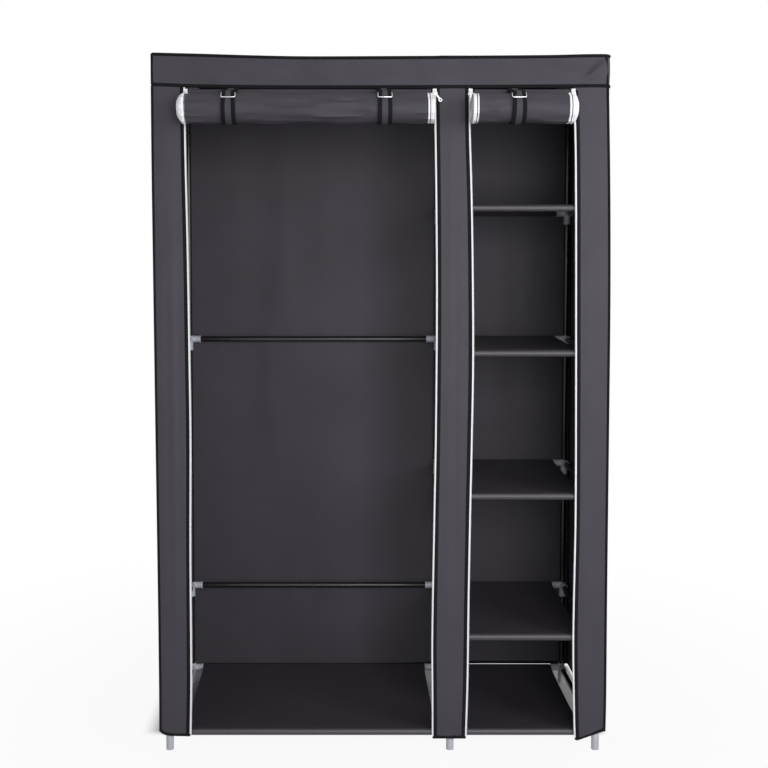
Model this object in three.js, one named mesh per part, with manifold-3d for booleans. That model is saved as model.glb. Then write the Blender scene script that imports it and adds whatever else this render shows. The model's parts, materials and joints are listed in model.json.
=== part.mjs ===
// A portable fabric wardrobe: a push-fit frame of steel tubes and plastic connectors under a sewn cloth cover.
// The wide left bay has a hanging rod, and the narrow right bay has four cloth shelves. Each bay has a zipped
// cloth door, here rolled up and held by straps. Millimetres, +Z up, the doors facing -Y.

import * as THREE from "three";
import { mergeVertices } from "three/addons/utils/BufferGeometryUtils.js";
import Module from "manifold-3d";

const wasm = await Module();
wasm.setup();

// Driving dimensions of the frame.
const leftBayWidth = 694;
const rightBayWidth = 360;
const frameDepth = 425;
const bottomHeight = 44;
const bottomStep = 239;
const shelfPitch = 351;
const shelfCount = 4;

// Steel tubes, and the running gap between pieces that seat in one another.
const tubeRadius = 7.5;
const tubeWall = 0.8;
const tubeSides = 8;
const fitGap = 0.3;
const overrun = 5;

// Moulded connectors.
const socketWall = 1.5;
const socketReach = 31;
const tubeStop = 11;
const gussetLeg = 9;
const gussetThickness = 3;
const teeHalfLength = 17;
const footRound = 3;
const footRoundSteps = 3;
const footFloor = 37;
const baseSocketRise = 13;

// Cloth, bound seams and the cover's ease over the frame.
const clothThickness = 1.5;
const coverGapFront = 3;
const coverGapSide = 9.2;
const capRise = 0.4;
const capHeight = 76;
const capCordRadius = 3;
const cornerCordRadius = 2.4;
const cordSides = 8;
const backHemHeight = 50;

// Shelf cloths, each sleeved on the two bars that carry it.
const shelfClothThickness = 1;
const shelfSag = 6;
const shelfSteps = 12;
const shelfInset = 34;
const sleeveSeam = 22;

// Front strips: how far each zip stands from the post beside it, and the hem heights.
const leftZipReach = 54;
const middleZipLeftTop = 47.5;
const middleZipLeftBottom = 43;
const middleZipRight = 38;
const rightZipTop = 78;
const rightZipBottom = 52;
const outerHemHeight = 53;
const leftHemHeight = 38;
const middleHemHeight = 34;
const rightHemHeight = 29;
const rightHemRise = 11;
const hemCornerWidth = 24;

// Zip chains, sliders and pull tabs.
const chainWidth = 6;
const chainThickness = 2.6;
const sliderShoulderWidth = 13;
const sliderNeckWidth = 9.6;
const sliderHeight = 15;
const sliderPlate = 1.4;
const sliderWedgeWidth = 2;
const sliderWedgeHeight = 8;
const sliderTopGap = 1.2;
const crownWidth = 2;
const crownOpening = 3.8;
const crownLeg = 1.1;
const crownRise = 3;
const crownTop = 1.1;
const pullThickness = 1.4;
const pullBar = 1.4;
const pullBarSides = 12;
const pullHeadWidth = 8.6;
const pullWindowWidth = 5.8;
const pullWindowHeight = 4;
const pullNeckWidth = 4.4;
const pullLength = 23;
const pullRingRadius = 4.6;
const pullHoleRadius = 2.1;
const pullRingSides = 16;
const swungPullAngle = THREE.MathUtils.degToRad(35);

// Rolled doors: the cloth's length, the roll it makes, and how it hangs from the band of the cap.
const doorClothThickness = 1;
const doorClothLength = 1580;
const rollRadius = 36;
const rollCoreRadius = 20;
const rollDrop = 56;
const rollClearance = 15;
const rollStepsPerTurn = 16;
const rollTelescope = { left: 21, right: 18 };
const rollShift = { left: 0, right: 6 };
const rollEndInset = 1;
const flapSetOut = 4;
const flapSideGap = 2;

// Straps round the rolled doors, and their wire rings.
const strapWidth = 33;
const strapThickness = 1.2;
const strapGap = 0.6;
const strapArcSteps = 20;
const strapSeamHeight = 3;
const leftStrapShares = [0.184, 0.796];
const rightStrapShares = [0.426];
const ringWireRadius = 1.3;
const ringWireSides = 8;
const ringWindow = 14;
const ringSideGap = 0.5;
const ringAngle = THREE.MathUtils.degToRad(45);
const ringLift = 1.4;
// The strap's end past the ring's lower bar, and the tab over the roll: degrees up the roll, and lift off it.
const strapEndPath = [
  [36, 0.2],
  [41, 1.3],
  [50, 5.3],
  [55, 6.3],
  [60, 6.1],
  [66, 4.5],
  [73, 1.9],
];
const tabPath = [75, 69, 63];
const eyeletSides = 12;

// Places worked out from the dimensions above.
const halfWidth = (leftBayWidth + rightBayWidth) / 2;
const postX = { left: -halfWidth, middle: leftBayWidth - halfWidth, right: halfWidth };
const postY = { front: -frameDepth / 2, back: frameDepth / 2 };
const topHeight = bottomHeight + bottomStep + shelfCount * shelfPitch;
const levelHeight = (level) => bottomHeight + bottomStep + (level - 1) * shelfPitch;
const levels = Array.from({ length: shelfCount }, (_, index) => index + 1);
const boreRadius = tubeRadius + fitGap;
const socketRadius = boreRadius + socketWall;
const coverFront = frameDepth / 2 + socketRadius + coverGapFront;
const coverSide = halfWidth + socketRadius + coverGapSide;
const clothPlane = -coverFront - clothThickness / 2;
const sidePlane = coverSide + clothThickness / 2;
const capUnderside = topHeight + socketRadius + capRise;
const capTop = capUnderside + clothThickness;
const capHem = capTop - capHeight;
const panelTop = capHem - capCordRadius - fitGap;
const panelEdge = sidePlane - cornerCordRadius - fitGap;
const sliderCentre = panelTop - sliderTopGap - sliderHeight / 2;
const rollCentreY = clothPlane - rollClearance - rollRadius;
const rollCentreZ = capHem - rollDrop;

const wardrobe = new THREE.Group();
wardrobe.name = "wardrobe";

const steel = new THREE.MeshStandardMaterial({ color: 0x0c0c0e, roughness: 0.25, metalness: 0.3 });
const plastic = new THREE.MeshStandardMaterial({ color: 0xa9abb8, roughness: 0.5, metalness: 0 });
const coverCloth = new THREE.MeshStandardMaterial({ color: 0x47454a, roughness: 0.85, metalness: 0 });
const strapCloth = new THREE.MeshStandardMaterial({ color: 0x2c2a2e, roughness: 0.85, metalness: 0 });
const zipMetal = new THREE.MeshStandardMaterial({ color: 0xf2f2f4, roughness: 0.35, metalness: 0 });
const wire = new THREE.MeshStandardMaterial({ color: 0xd8d8dc, roughness: 0.2, metalness: 1 });

// A closed geometry as a solid, and a solid as a geometry.
function toSolid(geometry) {
  const source = geometry.index ? geometry.toNonIndexed() : geometry;
  const bare = new THREE.BufferGeometry();
  bare.setAttribute("position", source.getAttribute("position").clone());
  const merged = mergeVertices(bare);
  return new wasm.Manifold(
    new wasm.Mesh({
      numProp: 3,
      vertProperties: merged.getAttribute("position").array,
      triVerts: new Uint32Array(merged.index.array),
    }),
  );
}

function toGeometry(solid) {
  const mesh = solid.getMesh();
  const geometry = new THREE.BufferGeometry();
  geometry.setAttribute("position", new THREE.BufferAttribute(mesh.vertProperties, 3));
  geometry.setIndex(new THREE.BufferAttribute(mesh.triVerts, 1));
  geometry.computeVertexNormals();
  return geometry;
}

const join = (solids) => solids.reduce((whole, solid) => whole.add(solid));
const cut = (solid, tools) => tools.reduce((rest, tool) => rest.subtract(tool), solid);
const point = (x, y, z) => new THREE.Vector3(x, y, z);

function addPiece(name, shape, material) {
  const mesh = new THREE.Mesh(shape.isBufferGeometry ? shape : toGeometry(shape), material);
  mesh.name = name;
  wardrobe.add(mesh);
  return mesh;
}

// A box between two opposite corners.
function box(low, high) {
  const size = point(0, 0, 0).subVectors(high, low);
  const centre = point(0, 0, 0).addVectors(low, high).multiplyScalar(0.5);
  return toSolid(new THREE.BoxGeometry(size.x, size.y, size.z).translate(centre.x, centre.y, centre.z));
}

// A round form made upright, laid along the line between two points. The facets of all that lie alike line up.
function layBetween(geometry, start, end) {
  const along = point(0, 0, 0).subVectors(end, start).normalize();
  const turn = new THREE.Quaternion().setFromUnitVectors(point(0, 1, 0), along);
  const centre = point(0, 0, 0).addVectors(start, end).multiplyScalar(0.5);
  return geometry.applyQuaternion(turn).translate(centre.x, centre.y, centre.z);
}

function bar(start, end, radius, sides = tubeSides) {
  const length = start.distanceTo(end);
  return toSolid(layBetween(new THREE.CylinderGeometry(radius, radius, length, sides), start, end));
}

function steelTube(start, end) {
  const reach = start.distanceTo(end) / 2;
  const inner = tubeRadius - tubeWall;
  const profile = [
    new THREE.Vector2(inner, -reach),
    new THREE.Vector2(tubeRadius, -reach),
    new THREE.Vector2(tubeRadius, reach),
    new THREE.Vector2(inner, reach),
    new THREE.Vector2(inner, -reach),
  ];
  return toSolid(layBetween(new THREE.LatheGeometry(profile, tubeSides), start, end));
}

// An outline in the Y-Z plane pushed out along X, and one in the X-Z plane pushed out along Y.
function alongX(shape, low, high) {
  const geometry = new THREE.ExtrudeGeometry(shape, { depth: high - low, bevelEnabled: false, curveSegments: 1 });
  const turn = new THREE.Matrix4().makeBasis(point(0, 1, 0), point(0, 0, 1), point(1, 0, 0));
  return toSolid(geometry.applyMatrix4(turn).translate(low, 0, 0));
}

function alongY(shape, low, high) {
  const geometry = new THREE.ExtrudeGeometry(shape, { depth: high - low, bevelEnabled: false, curveSegments: 1 });
  const turn = new THREE.Matrix4().makeBasis(point(1, 0, 0), point(0, 0, 1), point(0, -1, 0));
  return toSolid(geometry.applyMatrix4(turn).translate(0, high, 0));
}

function alongZ(shape, low, high) {
  const geometry = new THREE.ExtrudeGeometry(shape, { depth: high - low, bevelEnabled: false, curveSegments: 1 });
  return toSolid(geometry.translate(0, 0, low));
}

const outline = (pairs) => new THREE.Shape(pairs.map(([across, up]) => new THREE.Vector2(across, up)));

// The outline of a strip of cloth that follows a line of points, with its thickness shared on both sides.
function ribbon(points, thickness) {
  const sides = [1, -1].map((side) =>
    points.map((place, index) => {
      const before = points[Math.max(index - 1, 0)];
      const after = points[Math.min(index + 1, points.length - 1)];
      const along = new THREE.Vector2().subVectors(after, before).normalize();
      return new THREE.Vector2(-along.y, along.x).multiplyScalar((side * thickness) / 2).add(place);
    }),
  );
  return new THREE.Shape([...sides[0], ...sides[1].reverse()]);
}

// The outer sleeve of a connector's socket, from its hub out to the mouth.
function sleeve(hub, direction, reach) {
  return bar(hub, hub.clone().addScaledVector(direction, reach), socketRadius);
}

// The bore of a socket, from the stop that its tube meets to past the mouth.
function socketBore(hub, direction) {
  const stop = hub.clone().addScaledVector(direction, tubeStop - fitGap);
  const mouth = hub.clone().addScaledVector(direction, socketReach + overrun);
  return bar(stop, mouth, boreRadius);
}

// The hollow of a tube that is one with its connector, from a distance along it to past its far end.
function tubeHollow(hub, direction, from, length) {
  const start = hub.clone().addScaledVector(direction, from);
  return bar(start, hub.clone().addScaledVector(direction, length + overrun), tubeRadius - tubeWall);
}

// A web in the corner between a level socket and the upright sleeve under it.
function gusset(hub, direction) {
  const root = socketRadius - fitGap;
  const corners = [
    [root - gussetThickness, -root + gussetThickness],
    [root + gussetLeg, -root],
    [root, -root - gussetLeg],
  ];
  if (direction.x !== 0) {
    const web = outline(corners.map(([out, down]) => [hub.x + direction.x * out, hub.z + down]));
    return alongY(web, hub.y - gussetThickness / 2, hub.y + gussetThickness / 2);
  }
  const web = outline(corners.map(([out, down]) => [hub.y + direction.y * out, hub.z + down]));
  return alongX(web, hub.x - gussetThickness / 2, hub.x + gussetThickness / 2);
}

const toRight = point(1, 0, 0);
const toLeft = point(-1, 0, 0);
const toBack = point(0, 1, 0);
const toFront = point(0, -1, 0);
const upward = point(0, 0, 1);
const downward = point(0, 0, -1);

const columnPlaces = ["front", "back"].flatMap((row) => ["left", "middle", "right"].map((side) => ({ row, side })));
const inwardY = (row) => (row === "front" ? toBack : toFront);

// Where the level sockets of a column point at one level: the left bay has no shelves, only two back bars.
function levelSockets(side, row, level) {
  const backBarLevel = level % 2 === 1;
  if (side === "left") {
    if (!backBarLevel) return [];
    return row === "back" ? [inwardY(row), toRight] : [inwardY(row)];
  }
  if (side === "right") return [inwardY(row), toLeft];
  return row === "back" && backBarLevel ? [inwardY(row), toRight, toLeft] : [inwardY(row), toRight];
}

// Six columns: post tubes stacked through the connectors of each level. The front left one takes in the depth tubes
// of the left side as well, which carry no shelf.
for (const { row, side } of columnPlaces) {
  const foot = point(postX[side], postY[row], footFloor + fitGap);
  const head = point(postX[side], postY[row], topHeight - tubeStop);
  const parts = [bar(foot, head, tubeRadius)];
  const bores = [bar(foot.clone().setZ(0), head.clone().setZ(topHeight), tubeRadius - tubeWall)];
  for (const level of levels) {
    const hub = point(postX[side], postY[row], levelHeight(level));
    const sockets = levelSockets(side, row, level);
    if (sockets.length === 0) continue;
    parts.push(sleeve(hub, downward, socketReach), bar(hub, hub.clone().setZ(hub.z + socketRadius), socketRadius));
    for (const direction of sockets) {
      parts.push(sleeve(hub, direction, socketReach), gusset(hub, direction));
      if (row === "front" && side === "left") {
        const far = point(hub.x, postY.back - tubeStop, hub.z);
        parts.push(bar(hub, far, tubeRadius));
        bores.push(tubeHollow(hub, direction, tubeStop, hub.distanceTo(far)));
      } else {
        bores.push(socketBore(hub, direction));
      }
    }
  }
  addPiece(`column_${row}_${side}`, cut(join(parts), bores), plastic);
}

// Where the level sockets of a corner connector point.
function cornerSockets(side, row) {
  const across = { left: [toRight], middle: [toLeft, toRight], right: [toLeft] };
  return [inwardY(row), ...across[side]];
}

// The top frame comes in three. The middle one is a depth tube with a connector at each end, and a U of tubes and
// connectors is pushed into it from each side. Tees on the left and the middle depth tube take the hanging rod.
const teeDirection = { left: toRight, middle: toLeft };
for (const side of ["left", "middle", "right"]) {
  const front = point(postX[side], postY.front, topHeight);
  const depth = postY.back - postY.front;
  const parts = [bar(front, front.clone().setY(postY.back), tubeRadius)];
  const bores = [tubeHollow(front, toBack, 0, depth - overrun)];
  for (const row of ["front", "back"]) {
    const hub = front.clone().setY(postY[row]);
    parts.push(sleeve(hub, downward, socketReach), bar(hub, hub.clone().setZ(hub.z + socketRadius), socketRadius));
    bores.push(socketBore(hub, downward), tubeHollow(hub, downward, 0, socketReach));
    for (const direction of cornerSockets(side, row)) {
      parts.push(sleeve(hub, direction, socketReach), gusset(hub, direction));
      if (direction.x === 0) continue;
      if (side === "middle") {
        bores.push(socketBore(hub, direction));
      } else {
        const length = Math.abs(postX.middle - hub.x) - tubeStop;
        parts.push(bar(hub, hub.clone().addScaledVector(direction, length), tubeRadius));
        bores.push(tubeHollow(hub, direction, 0, length));
      }
    }
  }
  if (side in teeDirection) {
    const hub = front.clone().setY(0);
    parts.push(sleeve(hub, toFront, teeHalfLength), sleeve(hub, toBack, teeHalfLength));
    parts.push(sleeve(hub, teeDirection[side], socketReach));
    bores.push(socketBore(hub, teeDirection[side]));
  }
  addPiece(`top_frame_${side}`, cut(join(parts), bores), plastic);
}

// The base connectors stand on moulded feet, and each has a socket that takes a column's lower end.
function foot(x, y) {
  const profile = [new THREE.Vector2(0, 0)];
  for (let step = 0; step <= footRoundSteps; step += 1) {
    const angle = (step / footRoundSteps) * (Math.PI / 2);
    profile.push(
      new THREE.Vector2(
        socketRadius - footRound + footRound * Math.sin(angle),
        footRound - footRound * Math.cos(angle),
      ),
    );
  }
  profile.push(new THREE.Vector2(socketRadius, bottomHeight), new THREE.Vector2(0, bottomHeight));
  return toSolid(new THREE.LatheGeometry(profile, tubeSides).rotateX(Math.PI / 2).translate(x, y, 0));
}

// The base frame: its connectors with the tubes that join them, as one ring.
function ringTubes(radius) {
  const place = (side, row) => point(postX[side], postY[row], bottomHeight);
  const tubes = Object.keys(postX).map((side) => bar(place(side, "front"), place(side, "back"), radius));
  for (const row of Object.keys(postY)) {
    tubes.push(bar(place("left", row), place("middle", row), radius));
    tubes.push(bar(place("middle", row), place("right", row), radius));
  }
  return tubes;
}

const baseParts = ringTubes(tubeRadius);
const baseBores = ringTubes(tubeRadius - tubeWall);
for (const { row, side } of columnPlaces) {
  const hub = point(postX[side], postY[row], bottomHeight);
  baseParts.push(foot(hub.x, hub.y), sleeve(hub, upward, baseSocketRise));
  const socketTop = hub.clone().setZ(bottomHeight + baseSocketRise + overrun);
  baseBores.push(bar(hub.clone().setZ(footFloor), socketTop, boreRadius));
  for (const direction of cornerSockets(side, row)) {
    baseParts.push(sleeve(hub, direction, socketReach), gusset(hub, direction));
  }
}
addPiece("base_frame", cut(join(baseParts), baseBores), plastic);

// Loose tubes, each seated against the stops of two sockets: depth rungs, shelf bars, back bars, hanging rod.
function seatedTube(name, fromHub, toHub) {
  const along = point(0, 0, 0).subVectors(toHub, fromHub).normalize();
  const start = fromHub.clone().addScaledVector(along, tubeStop);
  const end = toHub.clone().addScaledVector(along, -tubeStop);
  addPiece(name, steelTube(start, end), steel);
}

for (const level of levels) {
  const height = levelHeight(level);
  for (const side of ["middle", "right"]) {
    const x = postX[side];
    seatedTube(`rung_${side}_${level}`, point(x, postY.front, height), point(x, postY.back, height));
  }
  for (const [row, y] of Object.entries(postY)) {
    seatedTube(`shelf_bar_${row}_${level}`, point(postX.middle, y, height), point(postX.right, y, height));
  }
  if (levelSockets("left", "back", level).length > 0) {
    const name = `back_bar_${level}`;
    seatedTube(name, point(postX.left, postY.back, height), point(postX.middle, postY.back, height));
  }
}
seatedTube("hanging_rod", point(postX.left, 0, topHeight), point(postX.middle, 0, topHeight));

// A shelf cloth: a sagging sheet with a stitched sleeve round the bar at each end.
function shelfCloth(name, fromPost, toPost, height) {
  const inner = boreRadius;
  const outer = boreRadius + shelfClothThickness;
  const top = [];
  const under = [];
  for (let step = 0; step <= shelfSteps; step += 1) {
    const along = (step / shelfSteps) * 2 - 1;
    const drop = shelfSag * (1 - along * along);
    top.push([(along * frameDepth) / 2, height + outer - drop]);
    under.push([(along * frameDepth) / 2, height + inner - drop]);
  }
  const seamed = under.filter(([y]) => Math.abs(y) < frameDepth / 2 - sleeveSeam);
  const sleeveEnd = (y, side) =>
    Array.from({ length: tubeSides / 2 - 1 }, (_, index) => {
      const angle = ((index + 1) / (tubeSides / 2)) * Math.PI;
      return [y + side * outer * Math.sin(angle), height + outer * Math.cos(angle)];
    });
  const section = outline([
    ...top,
    ...sleeveEnd(postY.back, 1),
    [postY.back, height - outer],
    ...seamed.reverse(),
    [postY.front, height - outer],
    ...sleeveEnd(postY.front, -1).reverse(),
  ]);
  const sheet = alongX(section, fromPost + shelfInset, toPost - shelfInset);
  const bores = Object.values(postY).map((y) =>
    bar(point(fromPost, y, height), point(toPost, y, height), inner),
  );
  addPiece(name, cut(sheet, bores), coverCloth);
}

shelfCloth("base_cloth_left", postX.left, postX.middle, bottomHeight);
shelfCloth("base_cloth_right", postX.middle, postX.right, bottomHeight);
for (const level of levels) {
  shelfCloth(`shelf_cloth_${level}`, postX.middle, postX.right, levelHeight(level));
}

// The cap of the cover: a top sheet with a skirt all round, piped along its top edge and its hem.
function cordRing(height, radius) {
  const corners = [
    point(-sidePlane, clothPlane, height),
    point(sidePlane, clothPlane, height),
    point(sidePlane, -clothPlane, height),
    point(-sidePlane, -clothPlane, height),
  ];
  const edges = [[0, 1], [3, 2], [1, 2], [0, 3]];
  const sides = edges.map(([from, to]) => bar(corners[from], corners[to], radius, cordSides));
  const bends = corners.map((corner) =>
    toSolid(new THREE.SphereGeometry(radius, cordSides, cordSides / 2).translate(corner.x, corner.y, corner.z)),
  );
  return join([...sides, ...bends]);
}

const capShell = cut(
  box(
    point(-coverSide - clothThickness, -coverFront - clothThickness, capHem),
    point(coverSide + clothThickness, coverFront + clothThickness, capTop),
  ),
  [box(point(-coverSide, -coverFront, capHem - overrun), point(coverSide, coverFront, capUnderside))],
);
const capCords = [cordRing(capHem, capCordRadius), cordRing(capTop - clothThickness / 2, capCordRadius)];
addPiece("cover_cap", join([capShell, ...capCords]), coverCloth);

// The back and side panels. Each side carries the piping of its two upright corners.
addPiece(
  "cover_back",
  box(point(-panelEdge, coverFront, backHemHeight), point(panelEdge, coverFront + clothThickness, panelTop)),
  coverCloth,
);
function pipedEdge(x, y, facing) {
  const neck = Math.asin(clothThickness / 2 / cornerCordRadius);
  return Array.from({ length: cordSides + 1 }, (_, index) => {
    const angle = neck + (index / cordSides) * (2 * Math.PI - 2 * neck);
    return [x + cornerCordRadius * Math.sin(angle) * facing, y + cornerCordRadius * Math.cos(angle) * facing];
  });
}

for (const [name, side] of [["cover_left_side", -1], ["cover_right_side", 1]]) {
  const x = side * sidePlane;
  const section = outline([...pipedEdge(x, clothPlane, 1), ...pipedEdge(x, -clothPlane, -1)]);
  addPiece(name, alongZ(section, outerHemHeight, panelTop), coverCloth);
}

// The four zips, left to right: where each line starts and ends, and on which side its door lies.
const zips = [
  { top: postX.left + leftZipReach, bottom: postX.left + leftZipReach, hem: leftHemHeight, opening: 1 },
  {
    top: postX.middle - middleZipLeftTop,
    bottom: postX.middle - middleZipLeftBottom,
    hem: middleHemHeight,
    opening: -1,
  },
  { top: postX.middle + middleZipRight, bottom: postX.middle + middleZipRight, hem: middleHemHeight, opening: 1 },
  { top: postX.right - rightZipTop, bottom: postX.right - rightZipBottom, hem: rightHemHeight, opening: -1 },
];

// A zip's chain along the edge of its strip.
function chain(zip) {
  const half = chainWidth / 2;
  const section = outline([
    [zip.bottom - half, zip.hem],
    [zip.bottom + half, zip.hem],
    [zip.top + half, panelTop],
    [zip.top - half, panelTop],
  ]);
  return alongY(section, clothPlane - chainThickness / 2, clothPlane + chainThickness / 2);
}

const strip = (corners) => alongY(outline(corners), clothPlane - clothThickness / 2, -coverFront);

addPiece(
  "cover_front_left",
  join([
    strip([
      [-panelEdge, outerHemHeight],
      [-panelEdge + hemCornerWidth, leftHemHeight],
      [zips[0].bottom, leftHemHeight],
      [zips[0].top, panelTop],
      [-panelEdge, panelTop],
    ]),
    chain(zips[0]),
  ]),
  coverCloth,
);
addPiece(
  "cover_front_middle",
  join([
    strip([
      [zips[1].bottom, middleHemHeight],
      [zips[2].bottom, middleHemHeight],
      [zips[2].top, panelTop],
      [zips[1].top, panelTop],
    ]),
    chain(zips[1]),
    chain(zips[2]),
  ]),
  coverCloth,
);
addPiece(
  "cover_front_right",
  join([
    strip([
      [zips[3].bottom, rightHemHeight],
      [panelEdge - hemCornerWidth, rightHemHeight + rightHemRise],
      [panelEdge, outerHemHeight],
      [panelEdge, panelTop],
      [zips[3].top, panelTop],
    ]),
    chain(zips[3]),
  ]),
  coverCloth,
);

// A zip slider astride its chain, modelled upright about its own centre and then leant along its zip. The
// wedge that parts the two halves of the chain stands on the side of the door.
const plateInner = chainThickness / 2 + fitGap;
const plateOuter = plateInner + sliderPlate;
const pivotDepth = plateOuter + crownRise / 2;

function sliderBody(opening) {
  const shoulder = sliderShoulderWidth / 2;
  const neck = sliderNeckWidth / 2;
  const half = sliderHeight / 2;
  const plate = outline([
    [-neck, half],
    [-neck, 0],
    [-shoulder, -sliderHeight / 4],
    [-shoulder, -half],
    [shoulder, -half],
    [shoulder, -sliderHeight / 4],
    [neck, 0],
    [neck, half],
  ]);
  const wedgeInner = chainWidth / 2 + fitGap;
  const wedge = outline([
    [opening * wedgeInner, -half],
    [opening * (wedgeInner + sliderWedgeWidth), -half],
    [opening * (wedgeInner + sliderWedgeWidth / 2), sliderWedgeHeight - half],
    [opening * wedgeInner, sliderWedgeHeight - half],
  ]);
  const crownHalf = crownOpening / 2 + crownLeg;
  const crown = cut(
    box(
      point(-crownWidth / 2, -plateOuter - crownRise - crownTop, -crownHalf),
      point(crownWidth / 2, -plateInner, crownHalf),
    ),
    [
      box(
        point(-crownWidth, -plateOuter - crownRise, -crownOpening / 2),
        point(crownWidth, -plateOuter, crownOpening / 2),
      ),
    ],
  );
  return join([
    alongY(plate, -plateOuter, -plateInner),
    alongY(plate, plateInner, plateOuter),
    alongY(wedge, -plateOuter, plateOuter),
    crown,
  ]);
}

// A pull tab hung in the crown: a round pin across the window at its head, a narrow neck and a ring at its end.
function pullTab() {
  const front = -pivotDepth - pullThickness / 2;
  const back = -pivotDepth + pullThickness / 2;
  const headBottom = -pullBar / 2 - pullWindowHeight - pullBar;
  const ringCentre = -pullLength;
  const head = outline([
    [-pullHeadWidth / 2, 0],
    [-pullHeadWidth / 2, headBottom],
    [-pullNeckWidth / 2, headBottom - pullBar],
    [-pullNeckWidth / 2, ringCentre],
    [pullNeckWidth / 2, ringCentre],
    [pullNeckWidth / 2, headBottom - pullBar],
    [pullHeadWidth / 2, headBottom],
    [pullHeadWidth / 2, 0],
  ]);
  const window = box(
    point(-pullWindowWidth / 2, front - overrun, -pullBar / 2 - pullWindowHeight),
    point(pullWindowWidth / 2, back + overrun, overrun),
  );
  const pin = bar(
    point(-pullHeadWidth / 2, -pivotDepth, 0),
    point(pullHeadWidth / 2, -pivotDepth, 0),
    pullBar / 2,
    pullBarSides,
  );
  const ringEnd = [point(0, front, ringCentre), point(0, back, ringCentre)];
  const hole = bar(ringEnd[0].clone().setY(front - overrun), ringEnd[1], pullHoleRadius, pullRingSides);
  const holeBack = bar(ringEnd[0], ringEnd[1].clone().setY(back + overrun), pullHoleRadius, pullRingSides);
  const plate = join([alongY(head, front, back), bar(ringEnd[0], ringEnd[1], pullRingRadius, pullRingSides)]);
  return cut(plate, [window, hole, holeBack]).add(pin);
}

const pullSwings = [0, swungPullAngle, 0, 0];
zips.forEach((zip, index) => {
  const lean = Math.atan2(zip.top - zip.bottom, panelTop - zip.hem);
  const centreX = zip.top - Math.tan(lean) * (panelTop - sliderCentre);
  const slider = addPiece(`slider_${index + 1}`, sliderBody(zip.opening), zipMetal);
  const pull = addPiece(`pull_tab_${index + 1}`, pullTab(), zipMetal);
  for (const piece of [slider, pull]) piece.position.set(centreX, clothPlane, sliderCentre);
  slider.rotation.y = lean;
  pull.rotation.y = lean - pullSwings[index];
});

// A rolled door: one sheet wound in a spiral from its core to the turn that hangs from the band. Its inner
// turns slip sideways towards the core, by as much as the reach, as a loosely rolled cloth's do.
function rolledDoor(name, low, high, reach) {
  const turns = doorClothLength / (Math.PI * (rollRadius + rollCoreRadius));
  const steps = Math.round(turns * rollStepsPerTurn);
  const positions = [];
  const indices = [];
  for (let step = 0; step <= steps; step += 1) {
    const share = step / steps;
    const angle = -share * turns * 2 * Math.PI;
    const outer = rollRadius - (rollRadius - rollCoreRadius) * share;
    const slip = reach * Math.sqrt(share);
    for (const x of [low + slip, high + slip]) {
      for (const radius of [outer, outer - doorClothThickness]) {
        positions.push(x, rollCentreY + radius * Math.cos(angle), rollCentreZ + radius * Math.sin(angle));
      }
    }
  }
  const quad = (a, b, c, d) => indices.push(a, c, b, a, d, c);
  for (let step = 0; step < steps; step += 1) {
    const here = 4 * step;
    const next = here + 4;
    quad(here, next, next + 2, here + 2);
    quad(here + 1, here + 3, next + 3, next + 1);
    quad(here, here + 1, next + 1, next);
    quad(here + 2, next + 2, next + 3, here + 3);
  }
  const last = 4 * steps;
  quad(0, 2, 3, 1);
  quad(last, last + 1, last + 3, last + 2);
  const geometry = new THREE.BufferGeometry();
  geometry.setAttribute("position", new THREE.Float32BufferAttribute(positions, 3));
  geometry.setIndex(indices);
  addPiece(name, toSolid(geometry), coverCloth);
}

// The stretch of a door between the seam under the cap's band and the back of its roll.
const rollBack = rollCentreY + rollRadius;
const flapTop = new THREE.Vector2(clothPlane - flapSetOut, panelTop - strapSeamHeight - fitGap);
const flapBottom = new THREE.Vector2(rollBack - doorClothThickness / 2, rollCentreZ + fitGap);

function doorFlap(name, low, high) {
  addPiece(name, alongX(ribbon([flapTop, flapBottom], doorClothThickness), low, high), coverCloth);
}

const doors = [
  { side: "left", zipPair: [zips[0], zips[1]], slipSide: -1, strapShares: leftStrapShares },
  { side: "right", zipPair: [zips[2], zips[3]], slipSide: 1, strapShares: rightStrapShares },
];
for (const { side, zipPair, slipSide } of doors) {
  const centre = (zipPair[0].top + zipPair[1].top) / 2 - rollShift[side];
  const half = (zipPair[1].top - zipPair[0].top) / 2 - rollEndInset;
  rolledDoor(`door_roll_${side}`, centre - half, centre + half, slipSide * rollTelescope[side]);
  const inset = sliderShoulderWidth / 2 + flapSideGap;
  doorFlap(`door_flap_${side}`, zipPair[0].top + inset, zipPair[1].top - inset);
}

// A strap: sewn under the band behind the door, passed under the roll and up its front, in behind the lower bar of
// the wire ring and out over the upper one. A short tab from the same seam holds the upper bar in its eye.
const strapRadius = rollRadius + strapGap + strapThickness / 2;
const ringReach = strapRadius + ringLift;
const barOffset = ringWindow / 2 + ringWireRadius;
const barRadius = Math.hypot(ringReach, barOffset);
const barSpread = Math.atan2(barOffset, ringReach);
const onRoll = (angle, radius) =>
  new THREE.Vector2(rollCentreY - radius * Math.cos(angle), rollCentreZ + radius * Math.sin(angle));
const lowerBar = onRoll(ringAngle - barSpread, barRadius);
const upperBar = onRoll(ringAngle + barSpread, barRadius);

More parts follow.
